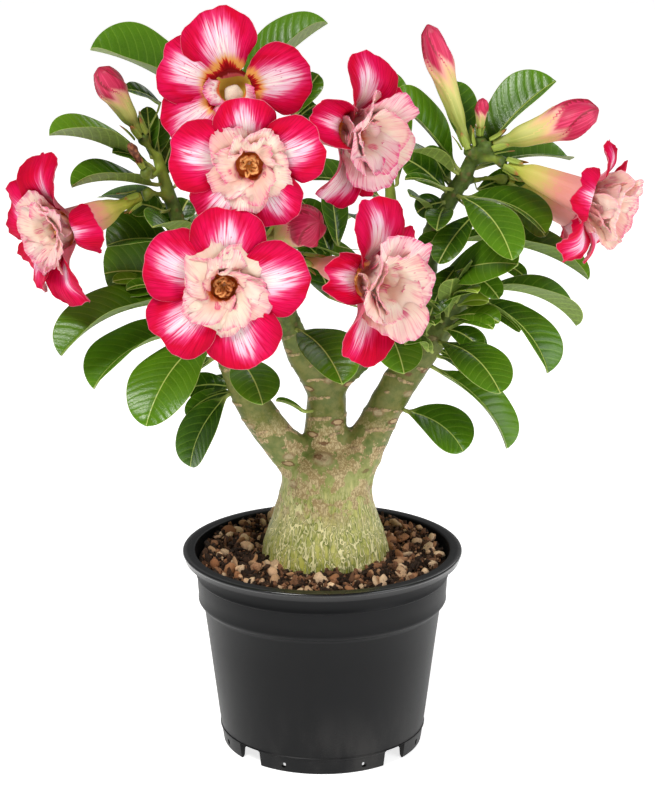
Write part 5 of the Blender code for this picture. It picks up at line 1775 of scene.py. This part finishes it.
FLOOR_RADII = (0.3, 1.0, 4.0, 14.0)
FLOOR_SIDES = 96


def lamp(name, spot, target, size, power, shade):
    """A round area lamp that faces its target."""
    light = bpy.data.lights.new(name, "AREA")
    light.shape = "DISK"
    light.size = size
    light.energy = power
    light.color = shade
    item = place(name, light)
    item.location = spot
    item.rotation_euler = (Vector(target) - Vector(spot)).to_track_quat("-Z", "Y").to_euler()


def set_stage(settings):
    """A wide pale floor, a white sky, a large soft lamp to the upper left, and the camera."""
    white = (1.0, 1.0, 1.0)
    f = Finish("floor")
    dapple = f.noise(f.place(), 0.0006, 2.0)
    base = f.blend(dapple.step(0.3, 0.7), settings.floor, tint(settings.floor, 0.99))
    material = f.finish(base_color=base, roughness=0.55, emission_color=white, emission_strength=0.76)
    sides = FLOOR_SIDES
    a = np.arange(sides) * math.tau / sides
    points = [(0.0, 0.0, 0.0)] + [(r * math.cos(t), r * math.sin(t), 0.0) for r in FLOOR_RADII for t in a]
    beside = [(1 + k, 1 + (k + 1) % sides) for k in range(sides)]
    faces = [(0, a, b) for a, b in beside]
    for start in range(0, (len(FLOOR_RADII) - 1) * sides, sides):
        faces += [(start + a, start + sides + a, start + sides + b, start + b) for a, b in beside]
    mesh = bpy.data.meshes.new("floor")
    mesh.from_pydata(points, [], faces)
    mesh.materials.append(material)
    floor = place("floor", mesh)
    world = bpy.data.worlds.new("studio")
    world.use_nodes = True
    sky = world.node_tree.nodes["Background"]
    sky.inputs["Color"].default_value = (*white, 1.0)
    sky.inputs["Strength"].default_value = 0.24
    scene = bpy.context.scene
    scene.world = world
    scene.view_settings.view_transform = "Standard"
    middle = (0.0, 0.0, (CAD_BOX[0][2] + CAD_BOX[1][2]) / 2)
    lamp("key", (-0.75, -1.05, 1.75), middle, 0.7, 26.0, (1.0, 0.985, 0.96))
    lamp("fill", (1.4, -1.0, 0.8), middle, 1.1, 13.0, (0.97, 0.985, 1.0))
    lamp("rim", (0.7, 1.3, 1.2), middle, 0.9, 3.5, white)
    lens = bpy.data.cameras.new("camera")
    lens.lens = settings.lens
    lens.sensor_width = 36.0
    lens.clip_end = 50.0
    camera = place("camera", lens)
    camera.location = (0.0024, -settings.distance, settings.height)
    camera.rotation_euler = (math.pi / 2 - settings.pitch, 0.0, 0.0)
    scene.camera = camera


# ---------------------------------------------------------------- operators


class BuildPot(bpy.types.Operator):
    """Mould the nursery pot."""

    bl_idname = "desert_rose.pot"
    bl_label = "Nursery Pot"
    bl_options = {"REGISTER", "UNDO"}

    def execute(self, context):
        settings = context.scene.desert_rose_pot
        mould_pot(settings, plastic_finish(settings))
        return {"FINISHED"}


class BuildMix(bpy.types.Operator):
    """Fill the pot with potting mix and strew stones, chips and crumbs over it."""

    bl_idname = "desert_rose.mix"
    bl_label = "Potting Mix"
    bl_options = {"REGISTER", "UNDO"}

    def execute(self, context):
        settings = context.scene.desert_rose_mix
        fill_mix(peat_finish(settings))
        strew_mix(settings, stone_finish(settings), chip_finish(settings))
        return {"FINISHED"}


class BuildWood(bpy.types.Operator):
    """Grow the caudex, the branches, the shoots and the sepals."""

    bl_idname = "desert_rose.wood"
    bl_label = "Caudex and Branches"
    bl_options = {"REGISTER", "UNDO"}

    def execute(self, context):
        settings = context.scene.desert_rose_wood
        grow_wood(settings, bark_finish(settings))
        bases = []
        for node in FLOWERS:
            rings = loops(node, 20)
            middle, radius, _ = circle(rings[1])
            bases.append((middle, unit(circle(rings[2])[0] - middle), radius, 8.0))
        for node in BUDS:
            rings = loops(node, 10)
            radius = circle(rings[1])[1]
            if radius < 1.0:
                continue
            bases.append((rings[0][0], unit(rings[-1][0] - rings[0][0]), radius, 2.6 + 1.6 * radius))
        sepals("sepals", bases, sepal_finish(settings))
        return {"FINISHED"}


class BuildLeaves(bpy.types.Operator):
    """Grow the leaves, one piece each."""

    bl_idname = "desert_rose.leaves"
    bl_label = "Leaves"
    bl_options = {"REGISTER", "UNDO"}

    def execute(self, context):
        settings = context.scene.desert_rose_leaves
        material, wood = leaf_finish(settings), wood_tree()
        for number, node in enumerate(LEAVES):
            name = node.replace("leaf_", "blade_")
            grow_leaf(name, vane_of(node), wood, settings, material, number, [node])
        for number, (name, row) in enumerate(FILLERS.items(), FILLER_SEEDS):
            vane = young_vane(*row[:8])
            grow_leaf("blade_" + name, vane, wood, settings, material, number, shade=row[8])
        return {"FINISHED"}


class BuildFlowers(bpy.types.Operator):
    """Grow the open flowers: petals, inner whorl, tube and stamens."""

    bl_idname = "desert_rose.flowers"
    bl_label = "Open Flowers"
    bl_options = {"REGISTER", "UNDO"}

    def execute(self, context):
        settings = context.scene.desert_rose_flowers
        outer, inner, tube = petal_finish(settings), whorl_finish(settings), tube_finish(settings)
        awn = stamen_finish()
        for number, node in enumerate(FLOWERS):
            bloom = Bloom(node)
            outer_petals(node, bloom, number, settings, outer)
            inner_whorl(node, bloom, number, settings, inner)
            flower_tube(node, bloom, tube)
            stamens(node, bloom, number, awn)
        return {"FINISHED"}


class BuildBuds(bpy.types.Operator):
    """Grow the closed buds."""

    bl_idname = "desert_rose.buds"
    bl_label = "Buds"
    bl_options = {"REGISTER", "UNDO"}

    def execute(self, context):
        settings = context.scene.desert_rose_buds
        material = bud_finish(settings)
        for number, node in enumerate(BUDS):
            bud(node, number, settings, material)
        return {"FINISHED"}


class SetStage(bpy.types.Operator):
    """Set the floor, the lamps and the camera."""

    bl_idname = "desert_rose.stage"
    bl_label = "Studio"
    bl_options = {"REGISTER", "UNDO"}

    def execute(self, context):
        set_stage(context.scene.desert_rose_stage)
        return {"FINISHED"}


SETTINGS = {
    "desert_rose_pot": PotSettings, "desert_rose_mix": MixSettings, "desert_rose_wood": WoodSettings,
    "desert_rose_leaves": LeafSettings, "desert_rose_flowers": FlowerSettings,
    "desert_rose_buds": BudSettings, "desert_rose_stage": StageSettings,
}
OPERATORS = (SetStage, BuildPot, BuildMix, BuildWood, BuildLeaves, BuildFlowers, BuildBuds)


class DesertRosePanel(bpy.types.Panel):
    """Builds the plant and its studio, piece by piece."""

    bl_idname = "VIEW3D_PT_desert_rose"
    bl_label = "Potted Desert Rose"
    bl_space_type = "VIEW_3D"
    bl_region_type = "UI"
    bl_category = "Desert Rose"

    def draw(self, context):
        for operator in OPERATORS:
            box = self.layout.box()
            box.operator(operator.bl_idname)
            settings = getattr(context.scene, "desert_rose_" + operator.bl_idname.split(".")[1])
            for prop in settings.bl_rna.properties:
                if prop.identifier not in ("name", "rna_type"):
                    box.prop(settings, prop.identifier)


def register():
    for name, group in SETTINGS.items():
        bpy.utils.register_class(group)
        setattr(bpy.types.Scene, name, PointerProperty(type=group))
    for operator in (*OPERATORS, DesertRosePanel):
        bpy.utils.register_class(operator)


def unregister():
    for operator in reversed((*OPERATORS, DesertRosePanel)):
        bpy.utils.unregister_class(operator)
    for name, group in reversed(SETTINGS.items()):
        delattr(bpy.types.Scene, name)
        bpy.utils.unregister_class(group)


def main():
    register()
    for operator in OPERATORS:
        family, name = operator.bl_idname.split(".")
        getattr(getattr(bpy.ops, family), name)()


if __name__ == "__main__":
    main()
